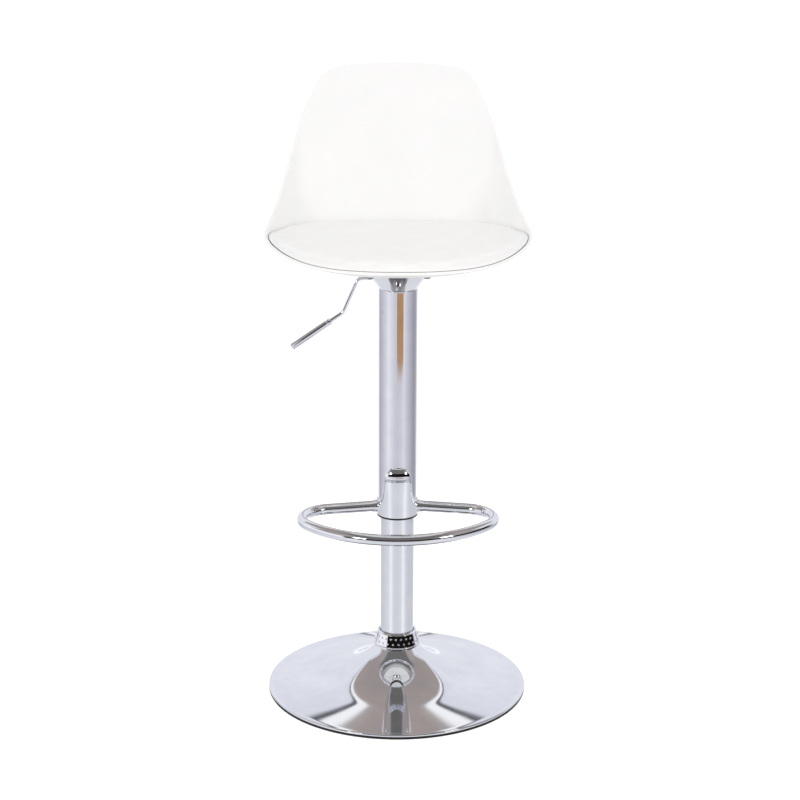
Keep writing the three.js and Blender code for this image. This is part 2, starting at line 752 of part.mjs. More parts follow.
const seatTurns = Array.from({ length: SEAT_ROUND }, (_, i) => i / SEAT_ROUND);
const sections = [FLAT_SHARE, 0.42, 0.53, 0.63, 0.72, 0.81, 0.9, 0.96, 1];

// The shell, with a moulded boss round each screw that carries the board.
function seatShell() {
  const outer = sections.map((v) => seatTurns.map((u) => shellPoint(u, v)));
  const inner = sections.map((v) => seatTurns.map((u) => shellInside(u, v, SHELL_WALL)));
  const rings = [[shellPoint(0, 0)], ...outer, ...inner.reverse(), [shellInside(0, 0, SHELL_WALL)]];
  const bossAt = ([x, y]) => solid(rod(BOSS_RADIUS, SHELL_BOTTOM + 1, BOARD_BOTTOM - GAP, x, y));
  const bosses = screwPlaces.map(bossAt);
  const body = bosses.reduce((whole, boss) => whole.add(boss), solid(lofted(rings)));
  return geometryOf(drilled(body, 3.7, SHELL_BOTTOM - 5, BOARD_BOTTOM + 5));
}
add("seat_shell", seatShell(), shellPlastic);

// Board under the pad: an oval carried by the shell's bosses, bored for the tee nuts.
function seatBoard() {
  const disc = new THREE.CylinderGeometry(1, 1, BOARD_THICK, ROUND)
    .rotateX(Math.PI / 2)
    .scale(108, 90, 1)
    .translate(0, 0, BOARD_BOTTOM + BOARD_THICK / 2);
  return geometryOf(drilled(solid(disc), 5, BOARD_BOTTOM - 5, BOARD_BOTTOM + 20));
}
add("seat_board", seatBoard(), plywood);

// The edge of the pad: where the shell's inside, less the pad's clearance, reaches the pad's edge height.
function padEdge(u) {
  const depth = SHELL_WALL + PAD_CLEARANCE;
  let low = FLAT_SHARE;
  let high = 1;
  for (let i = 0; i < 24; i++) {
    const middle = (low + high) / 2;
    if (shellInside(u, middle, depth).z < PAD_EDGE) low = middle;
    else high = middle;
  }
  return shellInside(u, low, depth);
}

// The pad lies on the board, fills the bucket out to its edge, and is crowned above it.
function seatPad() {
  const bottom = BOARD_BOTTOM + BOARD_THICK + GAP;
  const edges = seatTurns.map(padEdge);
  const centre = new THREE.Vector3(0, -25, 0);
  const shrunk = (share, heightAt) =>
    edges.map((edge) => edge.clone().sub(centre).multiplyScalar(share).add(centre).setZ(heightAt(edge)));
  const crown = (rise) => (edge) => edge.z + (PAD_CROWN - edge.z) * rise;
  const rings = [
    [centre.clone().setZ(bottom)],
    shrunk(0.72, () => bottom),
    edges,
    shrunk(0.985, crown(0.3)),
    shrunk(0.93, crown(0.6)),
    shrunk(0.8, crown(0.86)),
    shrunk(0.5, crown(0.98)),
    [centre.clone().setZ(PAD_CROWN)],
  ];
  return lofted(rings);
}
add("seat_pad", seatPad(), padLeather);

// ---- Fasteners ----------------------------------------------------------------------------------
const washerTop = PLATE_BOTTOM - GAP;
const headTop = washerTop - 1.2 - GAP;
const nutTop = BOARD_BOTTOM + BOARD_THICK;

screwPlaces.forEach(([x, y], index) => {
  const number = index + 1;
  const screw = turned([
    [0, headTop - 3.2],
    [4.4, headTop - 3.2],
    [6, headTop - 1.2],
    [6, headTop],
    [3, headTop],
    [3, nutTop - 0.5],
    [0, nutTop - 0.5],
  ], 16).translate(x, y, 0);
  const socket = solid(rod(2.3, headTop - 4, headTop - 1.4, x, y, 6));
  add(`seat_screw_${number}`, geometryOf(solid(screw).subtract(socket)), steel);
  add(`seat_washer_${number}`, ring(3.3, 8, washerTop - 1.2, washerTop, 16).translate(x, y, 0), steel);
  add(`tee_nut_${number}`, ring(3.3, 4.7, BOARD_BOTTOM + 1, nutTop, 16).translate(x, y, 0), steel);
});

export default stool;
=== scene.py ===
"""Looks of the adjustable swivel stool: chromed base and column, moulded bucket seat, upholstered pad.

Everything is in metres, +Z up, with the sitter facing -Y and the origin on the floor at the column's axis.
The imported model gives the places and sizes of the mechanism, which keeps its own meshes. The pieces that show
are modelled again here with fine surfaces, because a mirror finish shows every facet.
"""

import logging
import math
from collections.abc import Callable, Iterator, Sequence
from contextlib import contextmanager
from dataclasses import dataclass
from enum import Enum
from functools import cache

import bpy
from mathutils import Matrix, Vector


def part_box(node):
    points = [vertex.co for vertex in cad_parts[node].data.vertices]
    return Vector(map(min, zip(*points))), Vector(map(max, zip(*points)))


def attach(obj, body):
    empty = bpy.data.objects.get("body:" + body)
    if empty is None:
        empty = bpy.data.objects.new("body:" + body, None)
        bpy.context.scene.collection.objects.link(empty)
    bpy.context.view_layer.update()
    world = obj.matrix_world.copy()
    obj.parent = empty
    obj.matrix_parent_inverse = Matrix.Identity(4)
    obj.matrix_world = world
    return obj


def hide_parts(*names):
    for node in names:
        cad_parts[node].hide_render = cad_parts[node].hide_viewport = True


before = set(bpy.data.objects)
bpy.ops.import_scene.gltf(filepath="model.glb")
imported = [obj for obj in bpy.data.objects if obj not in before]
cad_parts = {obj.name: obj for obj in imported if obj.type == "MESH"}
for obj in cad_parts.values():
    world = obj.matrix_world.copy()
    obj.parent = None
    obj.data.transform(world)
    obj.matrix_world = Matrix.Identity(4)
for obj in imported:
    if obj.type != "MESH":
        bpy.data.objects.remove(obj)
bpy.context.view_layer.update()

MM = 0.001
log = logging.getLogger("stool")

Tree = bpy.types.NodeTree
Node = bpy.types.Node
Socket = bpy.types.NodeSocket
Piece = bpy.types.Object
Profile = list[tuple[float, float]]
Corner = tuple[float, float, float]


class Body(Enum):
    """The moving bodies of the stool."""

    STAND = "stand"
    CARRIAGE = "carriage"
    LEVER = "lever"


class Slot(Enum):
    """The finishes that the record names."""

    CHROME = "chrome"
    STEEL = "steel"
    CAST_IRON = "cast_iron"
    RUBBER = "rubber"
    BLACK_PLASTIC = "black_plastic"
    ACETAL = "acetal"
    BLACK_PAINT = "black_paint"
    SHELL = "shell_plastic"
    PAD = "pad_leather"
    PLYWOOD = "plywood"


# ---- Materials ----------------------------------------------------------------------------------


def linear(colour: str) -> tuple[float, float, float, float]:
    """Turns an sRGB hex colour into linear light.

    Args:
        colour: the colour as "#rrggbb".

    Returns:
        Red, green and blue in linear light, and an alpha of 1.
    """
    parts = [int(colour[i : i + 2], 16) / 255 for i in (1, 3, 5)]
    light = [p / 12.92 if p <= 0.04045 else ((p + 0.055) / 1.055) ** 2.4 for p in parts]
    return (light[0], light[1], light[2], 1.0)


def add_node(tree: Tree, kind: str, inputs: dict | None = None, **settings) -> Node:
    """Adds a shader node with its settings and links.

    Args:
        tree: the node tree.
        kind: the node's type name.
        inputs: for each input socket, by name or number, its value or the socket that feeds it.
        **settings: the node's own properties.

    Returns:
        The new node.
    """
    made = tree.nodes.new(kind)
    for name, value in settings.items():
        setattr(made, name, value)
    for name, value in (inputs or {}).items():
        if isinstance(value, Socket):
            tree.links.new(value, made.inputs[name])
        else:
            made.inputs[name].default_value = value
    return made


def add_ramp(tree: Tree, value: Socket, stops: Sequence[tuple]) -> Socket:
    """Adds a colour ramp.

    Args:
        tree: the node tree.
        value: the socket that drives the ramp.
        stops: pairs of a place from 0 to 1 and a hex colour or a grey level.

    Returns:
        The ramp's colour socket.
    """
    ramp = add_node(tree, "ShaderNodeValToRGB", {"Fac": value})
    elements = ramp.color_ramp.elements
    while len(elements) < len(stops):
        elements.new(0.5)
    for element, (place, shade) in zip(elements, stops):
        element.position = place
        element.color = linear(shade) if isinstance(shade, str) else (shade, shade, shade, 1.0)
    return ramp.outputs["Color"]


@dataclass(frozen=True)
class Finish:
    """A surface finish. Each kind adds its own pattern to the common shader.

    Attributes:
        slot: the record's slot that it stands for.
        colour: its main colour.
        metallic: 1 for bare metal, 0 otherwise.
        roughness: its middle roughness.
    """

    slot: Slot
    colour: str
    metallic: float = 0.0
    roughness: float = 0.5

    def material(self) -> bpy.types.Material:
        """Makes the finish's material, once for all the pieces that share it.

        Returns:
            The material.
        """
        name = type(self).__name__
        known = bpy.data.materials.get(name)
        if known:
            return known
        made = bpy.data.materials.new(name)
        made.use_nodes = True
        tree = made.node_tree
        shader = tree.nodes["Principled BSDF"]
        shader.inputs["Base Color"].default_value = linear(self.colour)
        shader.inputs["Metallic"].default_value = self.metallic
        shader.inputs["Roughness"].default_value = self.roughness
        place = add_node(tree, "ShaderNodeTexCoord").outputs["Object"]
        self.pattern(tree, shader, place)
        return made

    def pattern(self, tree: Tree, shader: Node, place: Socket) -> None:
        """Adds the finish's own detail to the shader.

        Args:
            tree: the material's node tree.
            shader: the Principled shader.
            place: the object coordinates.
        """
        raise NotImplementedError

    def noise(self, tree: Tree, place: Socket, size_mm: float, detail: float = 3.0) -> Socket:
        """Adds a noise whose grains are about size_mm across, and returns its value from 0 to 1."""
        inputs = {"Vector": place, "Scale": 1 / (size_mm * MM), "Detail": detail}
        return add_node(tree, "ShaderNodeTexNoise", inputs).outputs["Fac"]

    def vary_roughness(self, tree: Tree, shader: Node, value: Socket, low: float, high: float) -> None:
        """Runs the roughness from low to high as value runs over a noise's usual range.

        Args:
            tree: the material's node tree.
            shader: the Principled shader.
            value: the noise.
            low: the least roughness.
            high: the greatest.
        """
        inputs = {"Value": value, "From Min": 0.3, "From Max": 0.7, "To Min": low, "To Max": high}
        spread = add_node(tree, "ShaderNodeMapRange", inputs)
        tree.links.new(spread.outputs["Result"], shader.inputs["Roughness"])

    def vary_colour(self, tree: Tree, shader: Node, value: Socket, dark: str, light: str) -> None:
        """Runs the base colour from dark to light as value runs over a noise's usual range."""
        shade = add_ramp(tree, value, [(0.32, dark), (0.68, light)])
        tree.links.new(shade, shader.inputs["Base Color"])

    def raise_grain(
        self, tree: Tree, shader: Node, value: Socket, depth_mm: float, strength: float = 1.0
    ) -> None:
        """Gives the surface a relief depth_mm deep that follows value.

        Args:
            tree: the material's node tree.
            shader: the Principled shader.
            value: the height, from 0 to 1.
            depth_mm: the relief's depth in millimetres.
            strength: how much of it shows.
        """
        inputs = {"Height": value, "Distance": depth_mm * MM, "Strength": strength}
        bump = add_node(tree, "ShaderNodeBump", inputs)
        tree.links.new(bump.outputs["Normal"], shader.inputs["Normal"])


@dataclass(frozen=True)
class ChromePlate(Finish):
    """Decorative chromium over polished steel.

    A mirror with a faint blue cast, clouded a little by wiping marks, and with the long ripple that the
    polishing wheel leaves under the plate.
    """

    slot: Slot = Slot.CHROME
    colour: str = "#eceef2"
    metallic: float = 1.0
    wipe_mm: float = 24.0
    ripple_mm: float = 30.0
    ripple_depth_mm: float = 0.02

    def pattern(self, tree: Tree, shader: Node, place: Socket) -> None:
        """Adds wiping marks to the gloss and the colour, and the ripple to the relief."""
        wiped = self.noise(tree, place, self.wipe_mm, 5.0)
        self.vary_roughness(tree, shader, wiped, 0.03, 0.065)
        self.vary_colour(tree, shader, wiped, "#e8eaef", "#eff0f3")
        self.raise_grain(tree, shader, self.noise(tree, place, self.ripple_mm, 0.0), self.ripple_depth_mm)


@dataclass(frozen=True)
class ZincPlatedSteel(Finish):
    """Pressed steel with clear-passivated zinc: a soft grey shine with a cloudy, slightly yellow bloom."""

    slot: Slot = Slot.STEEL
    colour: str = "#b3b5b4"
    metallic: float = 1.0
    bloom_mm: float = 6.0
    grain_mm: float = 0.7

    def pattern(self, tree: Tree, shader: Node, place: Socket) -> None:
        """Adds the bloom to the colour, and the rolled grain to the gloss and the relief."""
        self.vary_colour(tree, shader, self.noise(tree, place, self.bloom_mm), "#a2a6a8", "#c3c1b6")
        grain = self.noise(tree, place, self.grain_mm)
        self.vary_roughness(tree, shader, grain, 0.28, 0.45)
        self.raise_grain(tree, shader, grain, 0.03)


@dataclass(frozen=True)
class SandCastIron(Finish):
    """Grey iron cast in sand and dipped in black primer: dull and pebbly, with rust-brown patches."""

    slot: Slot = Slot.CAST_IRON
    colour: str = "#2d2c2b"
    metallic: float = 0.3
    sand_mm: float = 1.2
    patch_mm: float = 18.0

    def pattern(self, tree: Tree, shader: Node, place: Socket) -> None:
        """Adds the sand's texture and the rusty patches."""
        self.vary_colour(tree, shader, self.noise(tree, place, self.patch_mm), "#262526", "#43362e")
        sand = self.noise(tree, place, self.sand_mm, 6.0)
        self.vary_roughness(tree, shader, sand, 0.7, 0.9)
        self.raise_grain(tree, shader, sand, 0.4)


@dataclass(frozen=True)
class MouldedRubber(Finish):
    """Black nitrile rubber from a polished mould: nearly matt, with a grey bloom that dust clings to."""

    slot: Slot = Slot.RUBBER
    colour: str = "#161617"
    bloom_mm: float = 9.0
    pore_mm: float = 0.5

    def pattern(self, tree: Tree, shader: Node, place: Socket) -> None:
        """Adds the bloom to the colour and fine pores to the surface."""
        self.vary_colour(tree, shader, self.noise(tree, place, self.bloom_mm), "#121213", "#212122")
        pores = self.noise(tree, place, self.pore_mm)
        self.vary_roughness(tree, shader, pores, 0.6, 0.8)
        self.raise_grain(tree, shader, pores, 0.05)


@dataclass(frozen=True)
class BlackPolypropylene(Finish):
    """Black moulded polypropylene: a low, slightly waxy shine over a fine moulded grain."""

    slot: Slot = Slot.BLACK_PLASTIC
    colour: str = "#18191b"
    grain_mm: float = 0.6

    def pattern(self, tree: Tree, shader: Node, place: Socket) -> None:
        """Adds the moulded grain."""
        grain = self.noise(tree, place, self.grain_mm)
        self.vary_colour(tree, shader, grain, "#141517", "#1e1f22")
        self.vary_roughness(tree, shader, grain, 0.38, 0.52)
        self.raise_grain(tree, shader, grain, 0.03)


@dataclass(frozen=True)
class NaturalAcetal(Finish):
    """Uncoloured acetal: milky, slippery and a little translucent, with faint turning marks."""

    slot: Slot = Slot.ACETAL
    colour: str = "#ece9df"
    cloud_mm: float = 8.0
    mark_mm: float = 0.4

    def pattern(self, tree: Tree, shader: Node, place: Socket) -> None:
        """Adds milky clouds, and turning marks that run round the axis."""
        self.vary_colour(tree, shader, self.noise(tree, place, self.cloud_mm), "#e5e1d5", "#f1eee6")
        inputs = {"Vector": place, "Scale": 1 / (self.mark_mm * MM * 20), "Distortion": 0.4}
        marks = add_node(tree, "ShaderNodeTexWave", inputs, bands_direction="Z").outputs["Fac"]
        self.vary_roughness(tree, shader, marks, 0.35, 0.5)
        shader.inputs["Subsurface Weight"].default_value = 0.1
        shader.inputs["Subsurface Scale"].default_value = 2 * MM


@dataclass(frozen=True)
class StovedPaint(Finish):
    """Black stoved enamel on the gas cylinder: an even half gloss with slight orange peel."""

    slot: Slot = Slot.BLACK_PAINT
    colour: str = "#1a1a1b"
    peel_mm: float = 2.2

    def pattern(self, tree: Tree, shader: Node, place: Socket) -> None:
        """Adds the orange peel."""
        peel = self.noise(tree, place, self.peel_mm, 1.0)
        self.vary_colour(tree, shader, peel, "#161617", "#1f1f21")
        self.vary_roughness(tree, shader, peel, 0.3, 0.42)
        self.raise_grain(tree, shader, peel, 0.04)


@dataclass(frozen=True)
class WhitePolypropylene(Finish):
    """White injection-moulded polypropylene from a finely etched mould.

    A clean white with a satin sheen. The etched grain is about 0.4 mm across and is drawn
    at 1.1 mm so that it shows. A little light passes under the skin, which keeps the shadows soft.
    """

    slot: Slot = Slot.SHELL
    colour: str = "#f7f7f6"
    roughness: float = 0.42
    grain_mm: float = 1.1
    flow_mm: float = 90.0

    def pattern(self, tree: Tree, shader: Node, place: Socket) -> None:
        """Adds the etched grain, and the faint clouds of the melt's flow."""
        self.vary_colour(tree, shader, self.noise(tree, place, self.flow_mm, 2.0), "#f6f6f5", "#f9f8f7")
        grain = self.noise(tree, place, self.grain_mm, 2.0)
        self.vary_roughness(tree, shader, grain, 0.38, 0.48)
        self.raise_grain(tree, shader, grain, 0.02, 0.6)
        shader.inputs["Subsurface Weight"].default_value = 0.08
        shader.inputs["Subsurface Scale"].default_value = 3 * MM


@dataclass(frozen=True)
class CoatedLeather(Finish):
    """White polyurethane-coated cloth, embossed as leather.

    Small rounded pebbles with sharp creases between them, softly shining on top and dull in the creases. The
    real pebbles are under 1 mm and are drawn at 1.6 mm so that they show.
    """

    slot: Slot = Slot.PAD
    colour: str = "#f6f6f5"
    pebble_mm: float = 1.6
    stuffing_shade_mm: float = 26.0

    def pattern(self, tree: Tree, shader: Node, place: Socket) -> None:
        """Adds the pebbles, the dull creases between them, and slow patches of painted shade for the stuffing's
        dips.
        """
        inputs = {"Vector": place, "Scale": 1 / (self.pebble_mm * MM), "Randomness": 0.9}
        cells = add_node(tree, "ShaderNodeTexVoronoi", inputs, feature="DISTANCE_TO_EDGE").outputs["Distance"]
        rise = {"Value": cells, "From Min": 0.0, "From Max": 0.25}
        domed = add_node(tree, "ShaderNodeMapRange", rise, interpolation_type="SMOOTHSTEP")
        pebbles = domed.outputs["Result"]
        # Painted shade: slow patches a little darker, where the dips of the stuffing would lie in shade.
        self.vary_colour(tree, shader, self.noise(tree, place, self.stuffing_shade_mm, 4.0), "#f5f4f3", "#f8f7f6")
        shine = {"Value": pebbles, "To Min": 0.58, "To Max": 0.4}
        gloss = add_node(tree, "ShaderNodeMapRange", shine).outputs["Result"]
        tree.links.new(gloss, shader.inputs["Roughness"])
        self.raise_grain(tree, shader, pebbles, 0.035, 0.7)
        shader.inputs["Sheen Weight"].default_value = 0.08
        shader.inputs["Sheen Roughness"].default_value = 0.4


@dataclass(frozen=True)
class BirchPly(Finish):
    """Unfinished birch plywood: pale, with long soft figure on the faces and dark glue lines at the edge."""

    slot: Slot = Slot.PLYWOOD
    colour: str = "#cfae7c"
    roughness: float = 0.72
    ply_mm: float = 1.5
    figure_mm: float = 5.0

    def pattern(self, tree: Tree, shader: Node, place: Socket) -> None:
        """Adds the figure, stretched along the grain, and the layers through the thickness."""
        stretch = add_node(tree, "ShaderNodeMapping", {"Vector": place, "Scale": (0.12, 1.0, 1.0)})
        figure = self.noise(tree, stretch.outputs["Vector"], self.figure_mm, 6.0)
        wood = add_ramp(tree, figure, [(0.3, "#bf9a66"), (0.7, "#dcc194")])
        inputs = {"Vector": place, "Scale": 1 / (self.ply_mm * MM * 20)}
        layers = add_node(tree, "ShaderNodeTexWave", inputs, bands_direction="Z").outputs["Fac"]
        glue = add_ramp(tree, layers, [(0.0, "#b08a5c"), (0.25, "#ffffff")])
        mixed = add_node(tree, "ShaderNodeMix", data_type="RGBA", blend_type="MULTIPLY")
        mixed.inputs["Factor"].default_value = 0.6
        tree.links.new(wood, mixed.inputs["A"])
        tree.links.new(glue, mixed.inputs["B"])
        tree.links.new(mixed.outputs["Result"], shader.inputs["Base Color"])
        self.raise_grain(tree, shader, figure, 0.08)


FINISHES: dict[Slot, Finish] = {
    finish.slot: finish
    for finish in (
        ChromePlate(), ZincPlatedSteel(), SandCastIron(), MouldedRubber(), BlackPolypropylene(),
        NaturalAcetal(), StovedPaint(), WhitePolypropylene(), CoatedLeather(), BirchPly(),
    )
}


# ---- Modelling ----------------------------------------------------------------------------------


def deselect() -> None:
    """Deselects every object, so that an operator acts only on the new one."""
    bpy.ops.object.select_all(action="DESELECT")


def select(piece: Piece) -> None:
    """Makes a piece the only selected one, and the active one.

    Args:
        piece: the piece.
    """
    deselect()
    piece.select_set(True)
    bpy.context.view_layer.objects.active = piece


@contextmanager
def editing(piece: Piece) -> Iterator[None]:
    """Opens a piece in edit mode, and leaves it afterwards.

    Args:
        piece: the piece.
    """
    select(piece)
    bpy.ops.object.mode_set(mode="EDIT")
    yield
    bpy.ops.object.mode_set(mode="OBJECT")


def new_piece(name: str) -> Piece:
    """Names the primitive that has just been added.

    Args:
        name: for the object and its mesh.

    Returns:
        The object.
    """
    piece = bpy.context.active_object
    piece.name = name
    piece.data.name = name
    return piece


def modify(piece: Piece, kind: str, **settings) -> None:
    """Adds a modifier with its settings and applies it.

    Args:
        piece: the piece.
        kind: the modifier's type.
        **settings: the modifier's properties.
    """
    select(piece)
    modifier = piece.modifiers.new(kind.title(), kind)
    for name, value in settings.items():
        setattr(modifier, name, value)
    bpy.ops.object.modifier_apply(modifier=modifier.name)


def settle(piece: Piece, angle: float = 35.0) -> Piece:
    """Puts a piece's place into its mesh and smooths its faces, except across edges sharper than angle.

    Args:
        piece: the piece.
        angle: in degrees.

    Returns:
        The same piece.
    """
    select(piece)
    bpy.ops.object.transform_apply(location=True, rotation=True, scale=True)
    bpy.ops.object.shade_smooth_by_angle(angle=math.radians(angle))
    return piece


def join(pieces: Sequence[Piece], name: str) -> Piece:
    """Joins pieces into the first of them and names the result.

    Args:
        pieces: the pieces, of which only the first remains.
        name: of the result.

    Returns:
        The joined piece.
    """
    deselect()
    for piece in pieces:
        piece.select_set(True)
    bpy.context.view_layer.objects.active = pieces[0]
    bpy.ops.object.join()
    return new_piece(name)


def weld(distance_mm: float = 0.01) -> None:
    """In edit mode, merges points that lie together and turns all faces outwards.

    Args:
        distance_mm: how close they lie, in millimetres.
    """
    bpy.ops.mesh.select_all(action="SELECT")
    bpy.ops.mesh.remove_doubles(threshold=distance_mm * MM)
    bpy.ops.mesh.normals_make_consistent(inside=False)


def rounded(corners: Sequence[Corner], steps: int = 5) -> Profile:
    """Rounds the corners of a closed profile.

    Args:
        corners: radius, height and fillet of each corner, in millimetres. A fillet of 0 keeps it sharp.
        steps: spans in each fillet.

    Returns:
        The profile's points, which end where they start.
    """
    points = []
    for index, (radius, height, fillet) in enumerate(corners):
        here = Vector((radius, height))
        before = Vector(corners[index - 1][:2]) - here
        after = Vector(corners[(index + 1) % len(corners)][:2]) - here
        if not fillet:
            points.append(here)
            continue
        reach = fillet / math.tan(before.angle(after) / 2)
        reach = min(reach, before.length * 0.49, after.length * 0.49)
        start = here + before.normalized() * reach
        end = here + after.normalized() * reach
        for step in range(steps + 1):
            share = step / steps
            points.append(start.lerp(here, share).lerp(here.lerp(end, share), share))
    points.append(points[0])
    return [(point.x, point.y) for point in points]


def turned(name: str, profile: Profile, sides: int = 128) -> Piece:
    """Turns a profile about the column's axis: its line is drawn by extruding a point, then spun.

    Args:
        name: the piece's name.
        profile: radii and heights in millimetres, closed on itself or starting and ending on the axis.
        sides: steps round the axis.

    Returns:
        The new piece.
    """
    points = [Vector((radius, 0, height)) * MM for radius, height in profile]
    deselect()
    bpy.ops.mesh.primitive_plane_add(size=MM, location=points[0])
    piece = new_piece(name)
    with editing(piece):
        bpy.ops.mesh.select_all(action="SELECT")
        bpy.ops.mesh.merge(type="CENTER")
        for before, after in zip(points, points[1:]):
            bpy.ops.mesh.extrude_region_move(TRANSFORM_OT_translate={"value": after - before})
        bpy.ops.mesh.select_all(action="SELECT")
        bpy.ops.mesh.spin(steps=sides, angle=math.tau, center=(0, 0, 0), axis=(0, 0, 1))
        weld(0.004)
    return settle(piece)


@dataclass(frozen=True)
class Bend:
    """One bend of a bar: the centre it turns about, the axis, and the angle in radians."""

    centre: Vector
    axis: Vector
    angle: float


def swept(
    name: str, radius: float, start: Vector, legs: Sequence[Vector | Bend], sides: int = 28
) -> Piece:
    """Draws a round bar out from its first end: extruded along the straights and spun round the bends.

    Args:
        name: the piece's name.
        radius: of the bar, in metres.
        start: the middle of its first end.
        legs: the runs of its straights and its bends, in order. The first is a straight.
        sides: points round the bar.

    Returns:
        The new piece, closed at both ends.
    """
    step = math.radians(2.5)
    turn = legs[0].to_track_quat("Z", "Y").to_euler()
    deselect()
    bpy.ops.mesh.primitive_circle_add(vertices=sides, radius=radius, location=start, rotation=turn)
    piece = new_piece(name)
    with editing(piece):
        bpy.ops.mesh.select_all(action="SELECT")
        for leg in legs:
            if isinstance(leg, Bend):
                steps = max(3, round(abs(leg.angle) / step))
                bpy.ops.mesh.spin(steps=steps, angle=-leg.angle, center=leg.centre, axis=leg.axis)
            else:
                bpy.ops.mesh.extrude_region_move(TRANSFORM_OT_translate={"value": leg})
        bpy.ops.mesh.select_all(action="SELECT")
        bpy.ops.mesh.fill_holes(sides=0)
        weld()
    return settle(piece)


def surface(name: str, columns: int, rows: int, place: Callable[[float, float], Vector]) -> Piece:
    """Shapes a grid by a function, and merges its seam and poles.

    Args:
        name: the piece's name.
        columns: faces along u.
        rows: faces along v.
        place: gives a point in metres for u and v, each from 0 to 1.

    Returns:
        The new piece.
    """
    deselect()
    bpy.ops.mesh.primitive_grid_add(x_subdivisions=columns, y_subdivisions=rows, size=1)
    piece = new_piece(name)
    for point in piece.data.vertices:
        point.co = place(point.co.x + 0.5, point.co.y + 0.5)
    with editing(piece):
        weld()
    return settle(piece)


def finish_piece(piece: Piece, slot: Slot, body: Body, replaces: Sequence[str] = ()) -> Piece:
    """Gives a new piece its finish, its body and the CAD nodes that it stands for.

    Args:
        piece: the new piece.
        slot: its finish.
        body: the moving body that it rides on.
        replaces: the names of the CAD nodes.

    Returns:
        The same piece.
    """
    piece.data.materials.clear()
    piece.data.materials.append(FINISHES[slot].material())
    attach(piece, body.value)
    if replaces:
        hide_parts(*replaces)
    log.info("%s: %d faces", piece.name, len(piece.data.polygons))
    return piece


@cache
def outer_radius(node: str) -> float:
    """The outer radius in millimetres of a round CAD node on the column's axis."""
    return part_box(node)[1].x / MM


@cache
def heights(node: str) -> tuple[float, float]:
    """The lowest and highest point of a CAD node, in millimetres."""
    low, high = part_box(node)
    return low.z / MM, high.z / MM


# ---- Base ---------------------------------------------------------------------------------------


